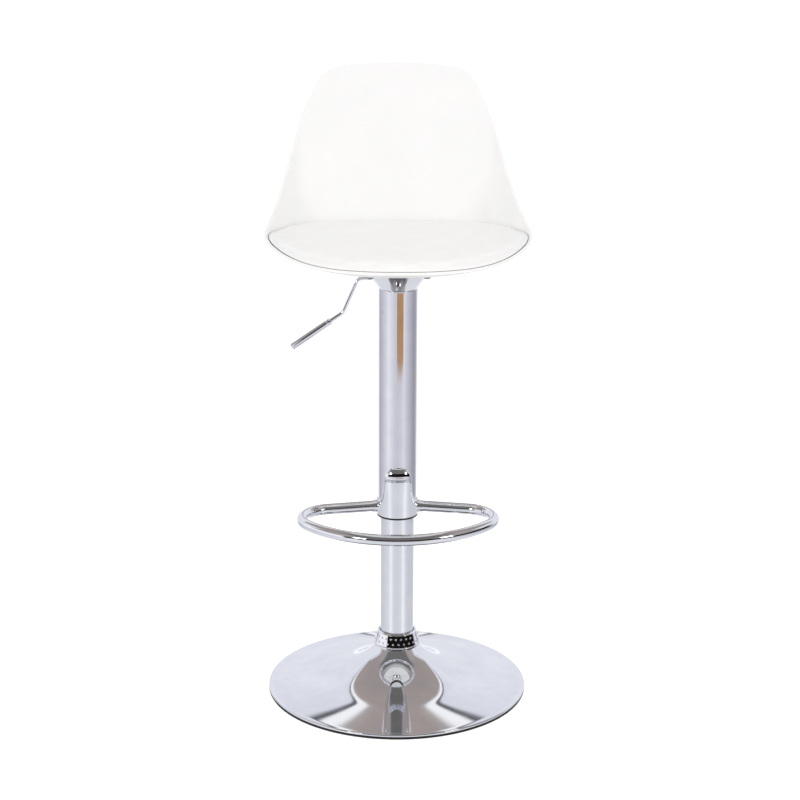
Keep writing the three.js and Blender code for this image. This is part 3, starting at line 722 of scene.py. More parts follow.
@dataclass
class TrumpetBase:
    """The spun steel base: a trumpet-shaped disc, the rubber ring under its edge, and the trim ring.

    Attributes:
        sides: steps round the disc.
        neck_radius: where the trumpet meets the column, in millimetres.
        neck_top: the height of the neck.
        rim_top: the height of the rolled edge.
        wall: the steel's thickness.
        pole_offset: moves the pole of the hyperbola behind the axis.
        stud_rows: heights of the trim ring's two rows of studs.
        band_taper: how much narrower the ring's band is at its top than at its foot.
        lip_reach: how far the ring's plain lip stands out from the band.
        lip_height: of the lip.
        bevel_height: of the bevel above the band.
        stud_count: studs in a row.
        stud_radius: of one stud.
    """

    sides: int = 256
    neck_radius: float = 30.0
    neck_top: float = 71.0
    rim_top: float = 7.2
    wall: float = 1.8
    pole_offset: float = 28.0
    stud_rows: tuple[float, float] = (76.6, 84.0)
    band_taper: float = 4.6
    lip_reach: float = 1.3
    lip_height: float = 3.4
    bevel_height: float = 2.4
    stud_count: int = 25
    stud_radius: float = 1.6

    def height_at(self, radius: float) -> float:
        """The height of the trumpet's outer face at a radius.

        Args:
            radius: in millimetres.

        Returns:
            The height in millimetres.
        """
        outer = outer_radius("base_disc")
        near, far = 1 / (self.neck_radius + self.pole_offset), 1 / (outer + self.pole_offset)
        scale = (self.neck_top - self.rim_top) / (near - far)
        return self.rim_top + scale * (1 / (radius + self.pole_offset) - far)

    def disc(self) -> Piece:
        """Spins the trumpet from its profile, with a rolled edge.

        Returns:
            The disc.
        """
        outer = outer_radius("base_disc")
        edge = heights("base_disc")[0]
        bore = outer_radius("column_tube") + 0.5
        spans = 56
        reach = outer - 3 - self.neck_radius
        radii = [self.neck_radius + reach * (i / spans) ** 1.5 for i in range(spans + 1)]
        top = [(radius, self.height_at(radius)) for radius in radii]
        under = [(min(radius - 1, outer - 5), self.height_at(radius) - self.wall * 1.1) for radius in radii]
        rim = rounded([
            (outer - 4.5, self.rim_top + 0.05, 0), (outer, self.rim_top - 0.2, 1.6), (outer, edge, 0.3),
            (outer - self.wall, edge, 0.3), (outer - self.wall, self.rim_top - self.wall - 1, 1),
            (outer - 5, self.rim_top - self.wall - 0.6, 0),
        ])[1:-2]
        neck = [(bore, self.neck_top - self.wall), (bore, self.neck_top + 1), (bore + 2, self.neck_top + 1)]
        return turned("trumpet_base", [*neck, *top, *rim, *under[::-1], neck[0]], self.sides)

    def rubber(self) -> Piece:
        """Turns the rubber ring, which shows as a thin black line under the edge.

        Returns:
            The ring.
        """
        outer = outer_radius("floor_ring")
        lip = outer - self.wall - 0.3
        top = heights("base_disc")[0] - 0.3
        corners = [
            (lip - 6, 0, 0.8), (outer, 0, 0.9), (outer, top, 0.5), (lip, top, 0), (lip, top + 0.6, 0.2),
            (lip - 6, top + 0.6, 0.2),
        ]
        return turned("rubber_floor_ring", rounded(corners), self.sides)

    def trim(self) -> Piece:
        """Turns the trim ring: a plain lip, a tapered band, and a bevelled top.

        Returns:
            The ring.
        """
        bottom, top = heights("base_trim_ring")
        lip = outer_radius("base_trim_ring")
        band = lip - self.lip_reach
        bore = outer_radius("column_tube") + 0.6
        shoulder = band - self.band_taper
        corners = [
            (band - 1.6, bottom, 0), (lip, bottom, 1.2), (lip, bottom + 3.2, 1.2),
            (band, bottom + self.lip_height, 0.2), (shoulder, top - self.bevel_height, 0.8),
            (shoulder - 1.2, top - 0.5, 0.6), (bore + 1.2, top, 0.4), (bore, top - 0.8, 0.4),
            (bore, self.neck_top + 1.4, 0), (band - 1.6, self.neck_top + 1.4, 0),
        ]
        return turned("trim_ring", rounded(corners))

    def studs(self) -> Piece:
        """Models one raised stud of the trim ring, and copies it round both rows, half a step apart.

        Returns:
            All the studs as one piece.
        """
        bottom, top = heights("base_trim_ring")
        foot = outer_radius("base_trim_ring") - self.lip_reach
        slope = self.band_taper / (top - bottom - self.lip_height - self.bevel_height)
        lean = Matrix.Rotation(-math.atan(slope), 4, "Y")
        deselect()
        bpy.ops.mesh.primitive_uv_sphere_add(segments=12, ring_count=6, radius=self.stud_radius * MM)
        stud = new_piece("trim_ring_studs")
        stud.data.transform(Matrix.Diagonal((0.55, 1.0, 1.0, 1.0)))
        copies = []
        for row, height in enumerate(self.stud_rows):
            for index in range(self.stud_count):
                copy = stud.copy()
                copy.data = stud.data.copy()
                bpy.context.collection.objects.link(copy)
                turn = math.tau * (index + row / 2) / self.stud_count
                band = foot - slope * (height - bottom - self.lip_height)
                place = Matrix.Translation((band * MM, 0, height * MM))
                copy.data.transform(Matrix.Rotation(turn, 4, "Z") @ place @ lean)
                copies.append(copy)
        bpy.data.objects.remove(stud)
        return settle(join(copies, "trim_ring_studs"), 60)

    def build(self) -> None:
        """Builds and dresses the base."""
        finish_piece(self.disc(), Slot.CHROME, Body.STAND, ["base_disc"])
        finish_piece(self.rubber(), Slot.RUBBER, Body.STAND, ["floor_ring"])
        finish_piece(self.trim(), Slot.CHROME, Body.STAND, ["base_trim_ring"])
        finish_piece(self.studs(), Slot.CHROME, Body.STAND)


# ---- Column -------------------------------------------------------------------------------------


@dataclass
class Column:
    """The fixed tube and the cover sleeve that telescopes over it, with the black bush at its foot."""

    sleeve_wall: float = 1.5
    tube_wall: float = 1.6
    lip: float = 0.7

    def tube(self, name: str, node: str, wall: float) -> Piece:
        """Turns a plain tube as tall and wide as a CAD node.

        Its ends are softened, and a line just inside each end keeps the long wall's shading straight.

        Args:
            name: the piece's name.
            node: the CAD node's name.
            wall: the tube's wall in millimetres.

        Returns:
            The tube.
        """
        bottom, top = heights(node)
        outer = outer_radius(node)
        inner = outer - wall
        margin = 3 * self.lip
        corners = [
            (inner, bottom, self.lip / 2), (outer, bottom, self.lip), (outer, bottom + margin, 0),
            (outer, top - margin, 0), (outer, top, self.lip), (inner, top, self.lip / 2),
        ]
        return turned(name, rounded(corners), 160)

    def bush(self) -> Piece:
        """Turns the sleeve's bush: a flange that shows below the sleeve, and a long liner inside.

        Returns:
            The bush.
        """
        bottom, top = heights("sleeve_bush")
        flange = outer_radius("sleeve_bush")
        bore = outer_radius("column_tube") + 0.3
        liner = outer_radius("cover_sleeve") - self.sleeve_wall - 0.3
        shoulder = heights("cover_sleeve")[0] - 0.3
        corners = [
            (bore, bottom, 0.3), (flange, bottom, 0.8), (flange, shoulder, 0.4), (liner, shoulder, 0),
            (liner, top, 0.3), (bore, top, 0.3),
        ]
        return turned("sleeve_bush_moulding", rounded(corners), 160)

    def build(self) -> None:
        """Builds and dresses the column."""
        lower = self.tube("lower_column", "column_tube", self.tube_wall)
        finish_piece(lower, Slot.CHROME, Body.STAND, ["column_tube"])
        upper = self.tube("upper_sleeve", "cover_sleeve", self.sleeve_wall)
        finish_piece(upper, Slot.CHROME, Body.CARRIAGE, ["cover_sleeve"])
        finish_piece(self.bush(), Slot.BLACK_PLASTIC, Body.CARRIAGE, ["sleeve_bush"])


# ---- Footrest -----------------------------------------------------------------------------------


@dataclass
class Footrest:
    """The bent bar and the cast saddle that carries it on the sleeve.

    Attributes:
        bar_radius: of the round bar, in millimetres.
        corner: centre and radius of the bend at the bar's right end.
        arm_start: where the right arm leaves the saddle.
        saddle_radius: of the collar round the sleeve.
        tongue: heights up the tongue, each with its half width and its outer radius.
    """

    bar_radius: float = 8.0
    corner: tuple[float, float, float] = (93.5, -59.0, 45.0)
    arm_start: tuple[float, float] = (39.0, -2.0)
    saddle_radius: float = 30.4
    tongue: tuple[tuple[float, float, float], ...] = (
        (275.0, 29.6, 30.4), (288.0, 29.0, 31.0), (296.0, 27.2, 31.6), (301.0, 24.6, 32.1),
        (308.0, 22.4, 32.8), (317.0, 21.2, 33.7), (327.0, 20.4, 34.6), (336.0, 19.4, 35.1),
        (342.0, 17.8, 34.7), (347.0, 15.0, 33.2), (350.4, 11.0, 31.0), (351.8, 6.0, 29.4),
    )

    @property
    def height(self) -> float:
        """The height of the bar's centre line, in millimetres."""
        low, high = heights("footrest_ring")
        return (low + high) / 2

    @property
    def arm_angle(self) -> float:
        """The direction of the right arm in plan, which runs into its bend without a kink.

        Returns:
            The angle in radians from the X axis.
        """
        x, y, radius = self.corner
        away = Vector((x - self.arm_start[0], y - self.arm_start[1]))
        return math.atan2(away.y, away.x) + math.asin(radius / away.length)

    def bar(self) -> Piece:
        """Sweeps the bar: an arm, a tight bend, the wide front, and the same back again.

        Returns:
            The bar.
        """
        x, y, radius = self.corner
        reach = -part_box("footrest_ring")[0].y / MM - self.bar_radius
        drop = reach + y
        front_radius = (x**2 + drop**2 - radius**2) / (2 * (drop - radius))
        front_y = front_radius - reach
        joint = math.atan2(y - front_y, x)
        out = self.arm_angle + math.pi / 2
        start = Vector((*self.arm_start, self.height)) * MM
        first = Vector((x + radius * math.cos(out), y + radius * math.sin(out), self.height)) * MM
        up = Vector((0, 0, 1))
        bends = [
            Bend(Vector((x, y, self.height)) * MM, up, joint - out),
            Bend(Vector((0, front_y, self.height)) * MM, up, -math.pi - 2 * joint),
            Bend(Vector((-x, y, self.height)) * MM, up, joint - out),
        ]
        back = Vector((first.x - start.x, start.y - first.y, 0))
        return swept("footrest_bar", self.bar_radius * MM, start, [first - start, *bends, back], 36)

    def tongue_at(self, share: float) -> tuple[float, float, float]:
        """The height, half width and outer radius of the tongue at a share of the way up, smoothly joined.

        Args:
            share: from 0 at the foot to 1 at the top.

        Returns:
            Height, half width and outer radius in millimetres.
        """
        stations = self.tongue
        along = share * (len(stations) - 1)
        index = min(int(along), len(stations) - 2)
        rest = along - index
        around = [stations[max(0, min(len(stations) - 1, index + k))] for k in (-1, 0, 1, 2)]
        weights = (
            -0.5 * rest + rest**2 - 0.5 * rest**3,
            1 - 2.5 * rest**2 + 1.5 * rest**3,
            0.5 * rest + 2 * rest**2 - 1.5 * rest**3,
            -0.5 * rest**2 + 0.5 * rest**3,
        )
        return tuple(sum(w * station[k] for w, station in zip(weights, around)) for k in range(3))

    def tongue_point(self, u: float, v: float) -> Vector:
        """A point of the tongue's front: u across it and v up it. Its edges roll back to the sleeve.

        Args:
            u: from 0 at its left edge to 1 at its right.
            v: from 0 at the foot to 1 at the top.

        Returns:
            The point in metres.
        """
        sleeve = outer_radius("cover_sleeve") + 0.1
        height, half_width, radius = self.tongue_at(v)
        across = 2 * u - 1
        across = math.copysign(1 - (1 - abs(across)) ** 1.6, across)
        roll = (1 - abs(across) ** 7) ** (1 / 2.2) if abs(across) < 1 else 0.0
        turn = across * math.asin(min(0.999, half_width / (sleeve + 1.5)))
        reach = sleeve + (radius - sleeve) * roll
        return Vector((math.sin(turn) * reach, -math.cos(turn) * reach, height)) * MM

    def front(self) -> Piece:
        """Shapes the tongue's front and gives it its thickness back to the sleeve.

        Returns:
            The tongue.
        """
        piece = surface("saddle_front", 72, 72, self.tongue_point)
        sleeve = (outer_radius("cover_sleeve") + 0.1) * MM
        with editing(piece):
            bpy.ops.mesh.select_all(action="SELECT")
            bpy.ops.mesh.duplicate()
        for point in piece.data.vertices:
            if point.select:
                point.co.xy = point.co.xy.normalized() * (sleeve - 0.05 * MM)
        with editing(piece):
            bpy.ops.mesh.select_all(action="DESELECT")
            bpy.ops.mesh.select_mode(type="EDGE")
            bpy.ops.mesh.select_non_manifold(extend=False, use_boundary=True)
            bpy.ops.mesh.bridge_edge_loops()
            bpy.ops.mesh.select_mode(type="VERT")
            weld(0.02)
        return piece

    def boss(self, side: int) -> Piece:
        """Turns the flared boss that takes one arm of the bar, and lays it along the arm.

        Args:
            side: 1 for the right arm and -1 for the left.

        Returns:
            The boss.
        """
        flare = [
            (0.0, -22.0), (11.8, -22.0), (11.2, -15.5), (10.0, -9.5), (9.0, -5.0), (8.5, -2.0), (8.2, 0.1),
            (0.0, 0.1),
        ]
        piece = turned(f"saddle_boss_{side}", flare, 48)
        lean = Matrix.Rotation(math.pi / 2, 4, "Y")
        turn = Matrix.Rotation(self.arm_angle, 4, "Z")
        move = Matrix.Translation(Vector((*self.arm_start, self.height)) * MM)
        piece.data.transform(move @ turn @ lean)
        if side < 0:
            piece.data.transform(Matrix.Diagonal((-1, 1, 1, 1)))
            piece.data.flip_normals()
        return piece

    def saddle(self) -> Piece:
        """Joins the collar, the tongue and the two bosses, and bores them for the sleeve.

        Returns:
            The saddle.
        """
        bore = outer_radius("cover_sleeve") + 0.1
        bottom = heights("footrest_saddle")[0]
        top = bottom + 22
        corners = [
            (bore, bottom, 0), (self.saddle_radius, bottom, 0.9), (self.saddle_radius, top, 1.2),
            (bore, top, 0),
        ]
        collar = turned("saddle_collar", rounded(corners))
        bosses = [self.boss(side) for side in (-1, 1)]
        bpy.ops.mesh.primitive_cylinder_add(vertices=128, radius=bore * MM, depth=0.2, location=(0, 0, 0.3))
        cutter = new_piece("saddle_bore")
        for boss in bosses:
            modify(boss, "BOOLEAN", operation="DIFFERENCE", object=cutter, solver="EXACT")
        bpy.data.objects.remove(cutter)
        return settle(join([collar, self.front(), *bosses], "saddle"), 50)

    def build(self) -> None:
        """Builds and dresses the footrest."""
        finish_piece(self.bar(), Slot.CHROME, Body.CARRIAGE, ["footrest_ring"])
        finish_piece(self.saddle(), Slot.CHROME, Body.CARRIAGE, ["footrest_saddle"])


# ---- Lever --------------------------------------------------------------------------------------


@dataclass
class LiftLever:
    """The bent lever rod and the grip pushed onto its end.

    Attributes:
        radius: of the rod, in millimetres.
        corners: the rod's corner points (x, z) and the radius of each bend.
        grip_length: of the grip.
        grip_radius: of the grip.
    """

    radius: float = 3.0
    corners: tuple[tuple[float, float, float], ...] = (
        (-30.0, 628.0, 0.0), (-57.0, 628.0, 11.0), (-79.0, 577.5, 16.0), (-150.5, 528.0, 0.0),
    )
    grip_length: float = 69.0
    grip_radius: float = 4.9

    def points(self) -> list[Vector]:
        """The corner points in space."""
        return [Vector((x, 0, z)) for x, z, _ in self.corners]

    def rod(self) -> Piece:
        """Sweeps the rod through its corners.

        Returns:
            The rod.
        """
        points = self.points()
        legs: list[Vector | Bend] = []
        here = points[0]
        for index in range(1, len(points) - 1):
            into = (points[index - 1] - points[index]).normalized()
            out = (points[index + 1] - points[index]).normalized()
            half = into.angle(out) / 2
            radius = self.corners[index][2]
            reach = radius / math.tan(half)
            entry, leave = points[index] + into * reach, points[index] + out * reach
            centre = points[index] + (into + out).normalized() * (radius / math.sin(half))
            axis = (-into).cross(out).normalized()
            legs += [(entry - here) * MM, Bend(centre * MM, axis, math.pi - 2 * half)]
            here = leave
        legs.append((points[-1] - here) * MM)
        return swept("lever_bar", self.radius * MM, points[0] * MM, legs, 24)

    def grip(self) -> Piece:
        """Turns the grip, with a shallow groove near its mouth and a domed end, and lays it along the rod.

        Returns:
            The grip.
        """
        radius, length = self.grip_radius, self.grip_length
        bore = self.radius + 0.3
        corners = [
            (bore, 0, 0.2), (radius - 0.3, 0, 0.5), (radius, 2.4, 0.4), (radius, 5.0, 0.3),
            (radius - 0.5, 5.5, 0.2), (radius - 0.5, 6.5, 0.2), (radius, 7.0, 0.3),
            (radius, length - 1.6, 1.2), (radius - 1.4, length, 1.0), (0, length, 0), (0, length - 2.5, 0),
            (bore, length - 2.5, 0),
        ]
        piece = turned("grip_sleeve", rounded(corners), 48)
        bend, end = self.points()[-2:]
        along = (end - bend).normalized()
        start = end + along * (3 - length)
        turn = Vector((0, 0, 1)).rotation_difference(along).to_matrix().to_4x4()
        piece.data.transform(Matrix.Translation(start * MM) @ turn)
        return piece

    def build(self) -> None:
        """Builds and dresses the lever."""
        finish_piece(self.rod(), Slot.CHROME, Body.LEVER, ["lever_rod"])
        finish_piece(self.grip(), Slot.CHROME, Body.LEVER, ["lever_grip"])


# ---- Seat mounting ------------------------------------------------------------------------------


@dataclass
class SeatMounting:
    """The conical cup between the sleeve and the seat plate."""

    wall: float = 1.4
    slot_half_width: float = 5.0
    slot_heights: tuple[float, float] = (622.0, 635.0)

    def cup(self) -> Piece:
        """Turns the cup, and cuts the lever's slot with a box.

        Returns:
            The cup.
        """
        bottom, top = heights("mechanism_cup")
        rim = outer_radius("mechanism_cup")
        foot = outer_radius("cover_sleeve")
        corners = [
            (foot - self.wall, bottom, 0.2), (foot, bottom, 0.8), (rim - 1.2, top - 1.6, 1.2),
            (rim, top, 0.3), (rim - 2 * self.wall, top, 0.3), (foot - self.wall, bottom + self.wall, 0.3),
        ]
        piece = turned("mechanism_cup_pressing", rounded(corners), 160)
        low, high = self.slot_heights
        deselect()
        bpy.ops.mesh.primitive_cube_add(size=1, location=(-40 * MM, 0, (low + high) / 2 * MM))
        cutter = new_piece("lever_slot")
        cutter.scale = (40 * MM, 2 * self.slot_half_width * MM, (high - low) * MM)
        modify(piece, "BOOLEAN", operation="DIFFERENCE", object=cutter, solver="EXACT")
        bpy.data.objects.remove(cutter)
        return settle(piece)

    def build(self) -> None:
        """Builds and dresses the cup."""
        finish_piece(self.cup(), Slot.CHROME, Body.CARRIAGE, ["mechanism_cup"])


# ---- Seat ---------------------------------------------------------------------------------------


@dataclass(frozen=True)
class SectionStyle:
    """How a section of the shell runs from the flat out to the rim, for one rise of the rim.

    Attributes:
        rise: of the rim above the flat, in millimetres.
        start: the first handle of the cubic curve, as shares of the section's span and rise.
        end: its second handle.
    """

    rise: float
    start: tuple[float, float]
    end: tuple[float, float]


def smoothstep(value: float, low: float, high: float) -> float:
    """Runs smoothly from 0 at low to 1 at high."""
    share = min(1.0, max(0.0, (value - low) / (high - low)))
    return share * share * (3 - 2 * share)


@dataclass
class BucketShell:
    """The moulded bucket: its rim is a smooth closed curve, and a section runs from the flat out to it.

    Attributes:
        rim: the rim's points on the sitter's left, from the front lip to the top of the back.
        styles: the sections, from the low front to the tall back.
        flat_radius: of the flat that the seat plate carries, in millimetres.
        wall: the moulding's thickness.
        columns: faces round the shell.
        rows: faces from the middle out to the rim.
    """

    rim: tuple[tuple[float, float, float], ...] = (
        (0, -191, 672.3), (47, -188, 672.5), (93, -175, 673.6), (128, -151, 676), (152, -122, 679.5),
        (170, -87, 683), (184, -47, 687.5), (190, -8, 693), (186, 32, 703), (177.5, 70, 721), (168, 106, 750),
        (156, 137, 789), (143, 159, 831), (126, 177, 870), (107, 188, 898), (76, 194, 908), (38, 197, 911),
        (0, 198, 912),
    )
    styles: tuple[SectionStyle, ...] = (
        SectionStyle(28, (0.36, 0.2), (0.74, 0.6)),
        SectionStyle(56, (0.8, 0), (0.98, 0.4)),
        SectionStyle(110, (0.88, 0), (0.98, 0.32)),
        SectionStyle(250, (0.69, 0), (0.68, 0.29)),
    )
    flat_radius: float = 60.0
    wall: float = 4.5
    columns: int = 240
    rows: int = 64

    def __post_init__(self) -> None:
        """Draws the rim's curve and spaces its columns evenly."""
        mirrored = [(-x, y, z) for x, y, z in self.rim[-2:0:-1]]
        self.bottom = heights("seat_shell")[0]
        self.edges = self.even(self.curve([Vector(point) for point in (*self.rim, *mirrored)]))

    def curve(self, points: Sequence[Vector], steps: int = 24) -> list[Vector]:
        """Runs a closed centripetal Catmull-Rom curve through points.

        Args:
            points: the points that it passes through.
            steps: spans between two of them.

        Returns:
            Points along the curve, the first one repeated at the end.
        """
        count = len(points)
        drawn = []
        for index in range(count):
            p0, p1, p2, p3 = (points[(index + k) % count] for k in (-1, 0, 1, 2))
            d0, d1, d2 = (math.sqrt((b - a).length) for a, b in ((p0, p1), (p1, p2), (p2, p3)))
            m1 = ((p1 - p0) / d0 - (p2 - p0) / (d0 + d1) + (p2 - p1) / d1) * d1
            m2 = ((p2 - p1) / d1 - (p3 - p1) / (d1 + d2) + (p3 - p2) / d2) * d1
            for step in range(steps):
                t = step / steps
                square, cube = t * t, t * t * t
                drawn.append(
                    p1 + m1 * t + (3 * (p2 - p1) - 2 * m1 - m2) * square + (2 * (p1 - p2) + m1 + m2) * cube
                )
        return [*drawn, drawn[0]]

    def even(self, line: Sequence[Vector]) -> list[Vector]:
        """Points at even distances along a closed line, one for each column.

        Args:
            line: the closed line, whose last point repeats its first.

        Returns:
            The points.
        """
        lengths = [0.0]
        for before, after in zip(line, line[1:]):
            lengths.append(lengths[-1] + (after - before).length)
        points, index = [], 0
        for column in range(self.columns):
            target = lengths[-1] * column / self.columns
            while lengths[index + 1] <= target:
                index += 1
            share = (target - lengths[index]) / (lengths[index + 1] - lengths[index])
            points.append(line[index].lerp(line[index + 1], share))
        return points

    def style_at(self, rise: float) -> tuple[list[float], list[float]]:
        """The two handles of the section that rises by rise.

        Args:
            rise: of the rim above the flat, in millimetres.

        Returns:
            The first and the second handle.
        """
        before = after = self.styles[0]
        for style in self.styles:
            before, after = after, style
            if style.rise >= rise:
                break
        share = smoothstep(rise, before.rise, after.rise) if after.rise > before.rise else 1.0
        mixed = [[a + (b - a) * share for a, b in zip(*pair)] for pair in
                 ((before.start, after.start), (before.end, after.end))]
        return mixed[0], mixed[1]

    def section(self, column: int, t: float) -> Vector:
        """A point of the outer face in millimetres: 0 at the edge of the flat and 1 at the rim.

        Args:
            column: which section, counted round from the front.
            t: how far out it is.

        Returns:
            The point.
        """
        edge = self.edges[column % self.columns]
        radius = math.hypot(edge.x, edge.y)
        rise = edge.z - self.bottom
        start, end = self.style_at(rise)
        w = 1 - t

        def along(first: float, second: float) -> float:
            """The cubic curve's share at t."""
            return 3 * w * w * t * first + 3 * w * t * t * second + t**3

        reach = self.flat_radius + (radius - self.flat_radius) * along(start[0], end[0])
        height = self.bottom + rise * along(start[1], end[1])
        return Vector((edge.x / radius * reach, edge.y / radius * reach, height))

    def inside(self, column: int, t: float, depth: float) -> Vector:
        """The same point moved inwards by depth, square to the face.

        Args:
            column: which section.
            t: how far out the point is.
            depth: in millimetres.

        Returns:
            The point in millimetres.
        """
        step = 1e-3
        here = self.section(column, t)
        along = self.section(column + 1, t) - self.section(column - 1, t)
        out = here - self.section(column, t - step) if t > step else self.section(column, t + step) - here
        return here + out.cross(along).normalized() * depth

    def place(self, u: float, v: float) -> Vector:
        """A point of the outer face in metres, for the grid's u and v. The first rows cover the flat.

        Args:
            u: from 0 to 1 round the shell.
            v: from 0 in the middle to 1 at the rim.

        Returns:
            The point.
        """
        column = round(u * self.columns)
        flat_rows = 0.1
        if v < flat_rows:
            edge = self.section(column, 0)
            return Vector((edge.x * v / flat_rows, edge.y * v / flat_rows, self.bottom)) * MM
        return self.section(column, (v - flat_rows) / (1 - flat_rows)) * MM

    def build(self) -> None:
        """Shapes the outer face, gives it its wall, and rounds the rim."""
        piece = surface("bucket_shell", self.columns, self.rows, self.place)
        lowest = min(piece.data.polygons, key=lambda face: face.center.xy.length)
        if lowest.normal.z > 0:
            piece.data.flip_normals()
        modify(piece, "SOLIDIFY", thickness=self.wall * MM, offset=-1, use_even_offset=True)
        modify(piece, "BEVEL", width=self.wall * 0.42 * MM, segments=5, limit_method="ANGLE",
               angle_limit=math.radians(60))
        finish_piece(settle(piece, 60), Slot.SHELL, Body.CARRIAGE, ["seat_shell"])


@dataclass
class SeatPad:
    """The upholstered pad: an oval cushion that fills the bucket, blown up by its stuffing.

    Attributes:
        shell: the bucket that it lies in.
        clearance: from the shell at the sides and the back, in millimetres.
        front_clearance: from the shell's front lip.
        centre_y: the middle of the pad.
        edge_height: where the pad's widest line lies.
        back_drop: how much lower that line lies at the back.
        crown: the top of the pad before it is stuffed.
        swell: the most that the stuffing lifts the cover.
        pressure: of the stuffing on the cloth.
        frames: for which the stuffing presses.
    """

    shell: BucketShell
    clearance: float = 1.0
    front_clearance: float = 0.2
    centre_y: float = -25.0
    edge_height: float = 690.0
    back_drop: float = 9.0
    crown: float = 692.0
    swell: float = 3.0
    pressure: float = 4.0
    frames: int = 20

    def edge(self, column: int) -> Vector:
        """Where the shell's inside, less the clearance, reaches the pad's edge height.

        Args:
            column: which of the shell's sections.

        Returns:
            The point in millimetres.
        """
        rim = self.shell.edges[column]
        snug = smoothstep(rim.z, 673, 688)
        depth = self.shell.wall + self.front_clearance + (self.clearance - self.front_clearance) * snug
        height = self.edge_height - self.back_drop * smoothstep(rim.y, 0, 150)
        low, high = 0.0, 1.0
        for _ in range(24):
            middle = (low + high) / 2
            if self.shell.inside(column, middle, depth).z < height:
                low = middle
            else:
                high = middle
        return self.shell.inside(column, low, depth)

    def place(self, u: float, v: float) -> Vector:
        """A point of the pad in metres: from the middle of its underside, round its edge, to its crown.

        Args:
            u: from 0 to 1 round the pad.
            v: from 0 in the middle of its underside to 1 at its crown.

        Returns:
            The point.
        """
        edge = self.edges[round(u * self.shell.columns) % self.shell.columns]
        bottom = heights("seat_pad")[0]
        foot, turn = 0.3, 0.42
        if v < foot:
            share, height = 0.72 * v / foot, bottom
        elif v < turn:
            run = (v - foot) / (turn - foot)
            share, height = 0.72 + 0.28 * run, bottom + (edge.z - bottom) * run
        else:
            angle = (v - turn) / (1 - turn) * math.pi / 2
            share = math.cos(angle) ** 0.5 if v < 1 else 0.0
            height = edge.z + (self.crown - edge.z) * math.sin(angle) ** 0.9
        return Vector((edge.x * share, self.centre_y + (edge.y - self.centre_y) * share, height)) * MM

    def stuff(self, piece: Piece) -> None:
        """Blows the cover up by a cloth simulation.

        Each point rises by no more than the swell, and less where the cover faces sideways, so that the
        pad's edge stays where it lies.

        Args:
            piece: the pad before it is stuffed.
        """
        rest = [(point.co.copy(), max(0.0, point.normal.z)) for point in piece.data.vertices]
        cloth = piece.modifiers.new("Cloth", "CLOTH")
        cloth.settings.use_pressure = True
        cloth.settings.uniform_pressure_force = self.pressure
        cloth.settings.effector_weights.gravity = 0.0
        scene = bpy.context.scene
        for step in range(1, self.frames + 1):
            scene.frame_set(step)
        select(piece)
        bpy.ops.object.modifier_apply(modifier=cloth.name)
        scene.frame_set(1)
        for point, (old, upward) in zip(piece.data.vertices, rest):
            lift = min(max(0.0, point.co.z - old.z), self.swell * MM)
            point.co = old + Vector((0, 0, lift * upward))

    def build(self) -> None:
        """Shapes the pad, stuffs it, and lays it in the shell."""
        self.edges = [self.edge(column) for column in range(self.shell.columns)]
        piece = surface("upholstered_pad", self.shell.columns, 72, self.place)
        self.stuff(piece)
        modify(piece, "SUBSURF", levels=1, render_levels=1)
        finish_piece(settle(piece, 80), Slot.PAD, Body.CARRIAGE, ["seat_pad"])


# ---- Hidden mechanism ---------------------------------------------------------------------------

MECHANISM: dict[Slot, tuple[str, ...]] = {
    Slot.CAST_IRON: ("base_ballast",),
    Slot.STEEL: (
        "hub_socket", "column_end_plate", "bearing_washer_lower", "bearing_washer_upper", "piston",
        "retaining_clip", "release_button", "seat_plate", "taper_socket", "lever_bracket", "lever_pivot_pin",
        "lever_block", *(f"seat_{kind}_{i}" for kind in ("screw", "washer") for i in range(1, 5)),
        *(f"tee_nut_{i}" for i in range(1, 5)),
    ),
    Slot.ACETAL: ("guide_bush", "bearing_cage"),
    Slot.CHROME: ("piston_rod",),
    Slot.RUBBER: ("rod_bumper",),
    Slot.BLACK_PAINT: ("gas_cylinder",),
    Slot.BLACK_PLASTIC: ("rod_seal",),
    Slot.PLYWOOD: ("seat_board",),
}


def dress_mechanism() -> None:
    """Gives each CAD node of the mechanism the finish of its real material."""
    for slot, names in MECHANISM.items():
        for name in names:
            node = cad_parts[name]
            for material_slot in node.material_slots:
                material_slot.material = FINISHES[slot].material()


# ---- Studio -------------------------------------------------------------------------------------


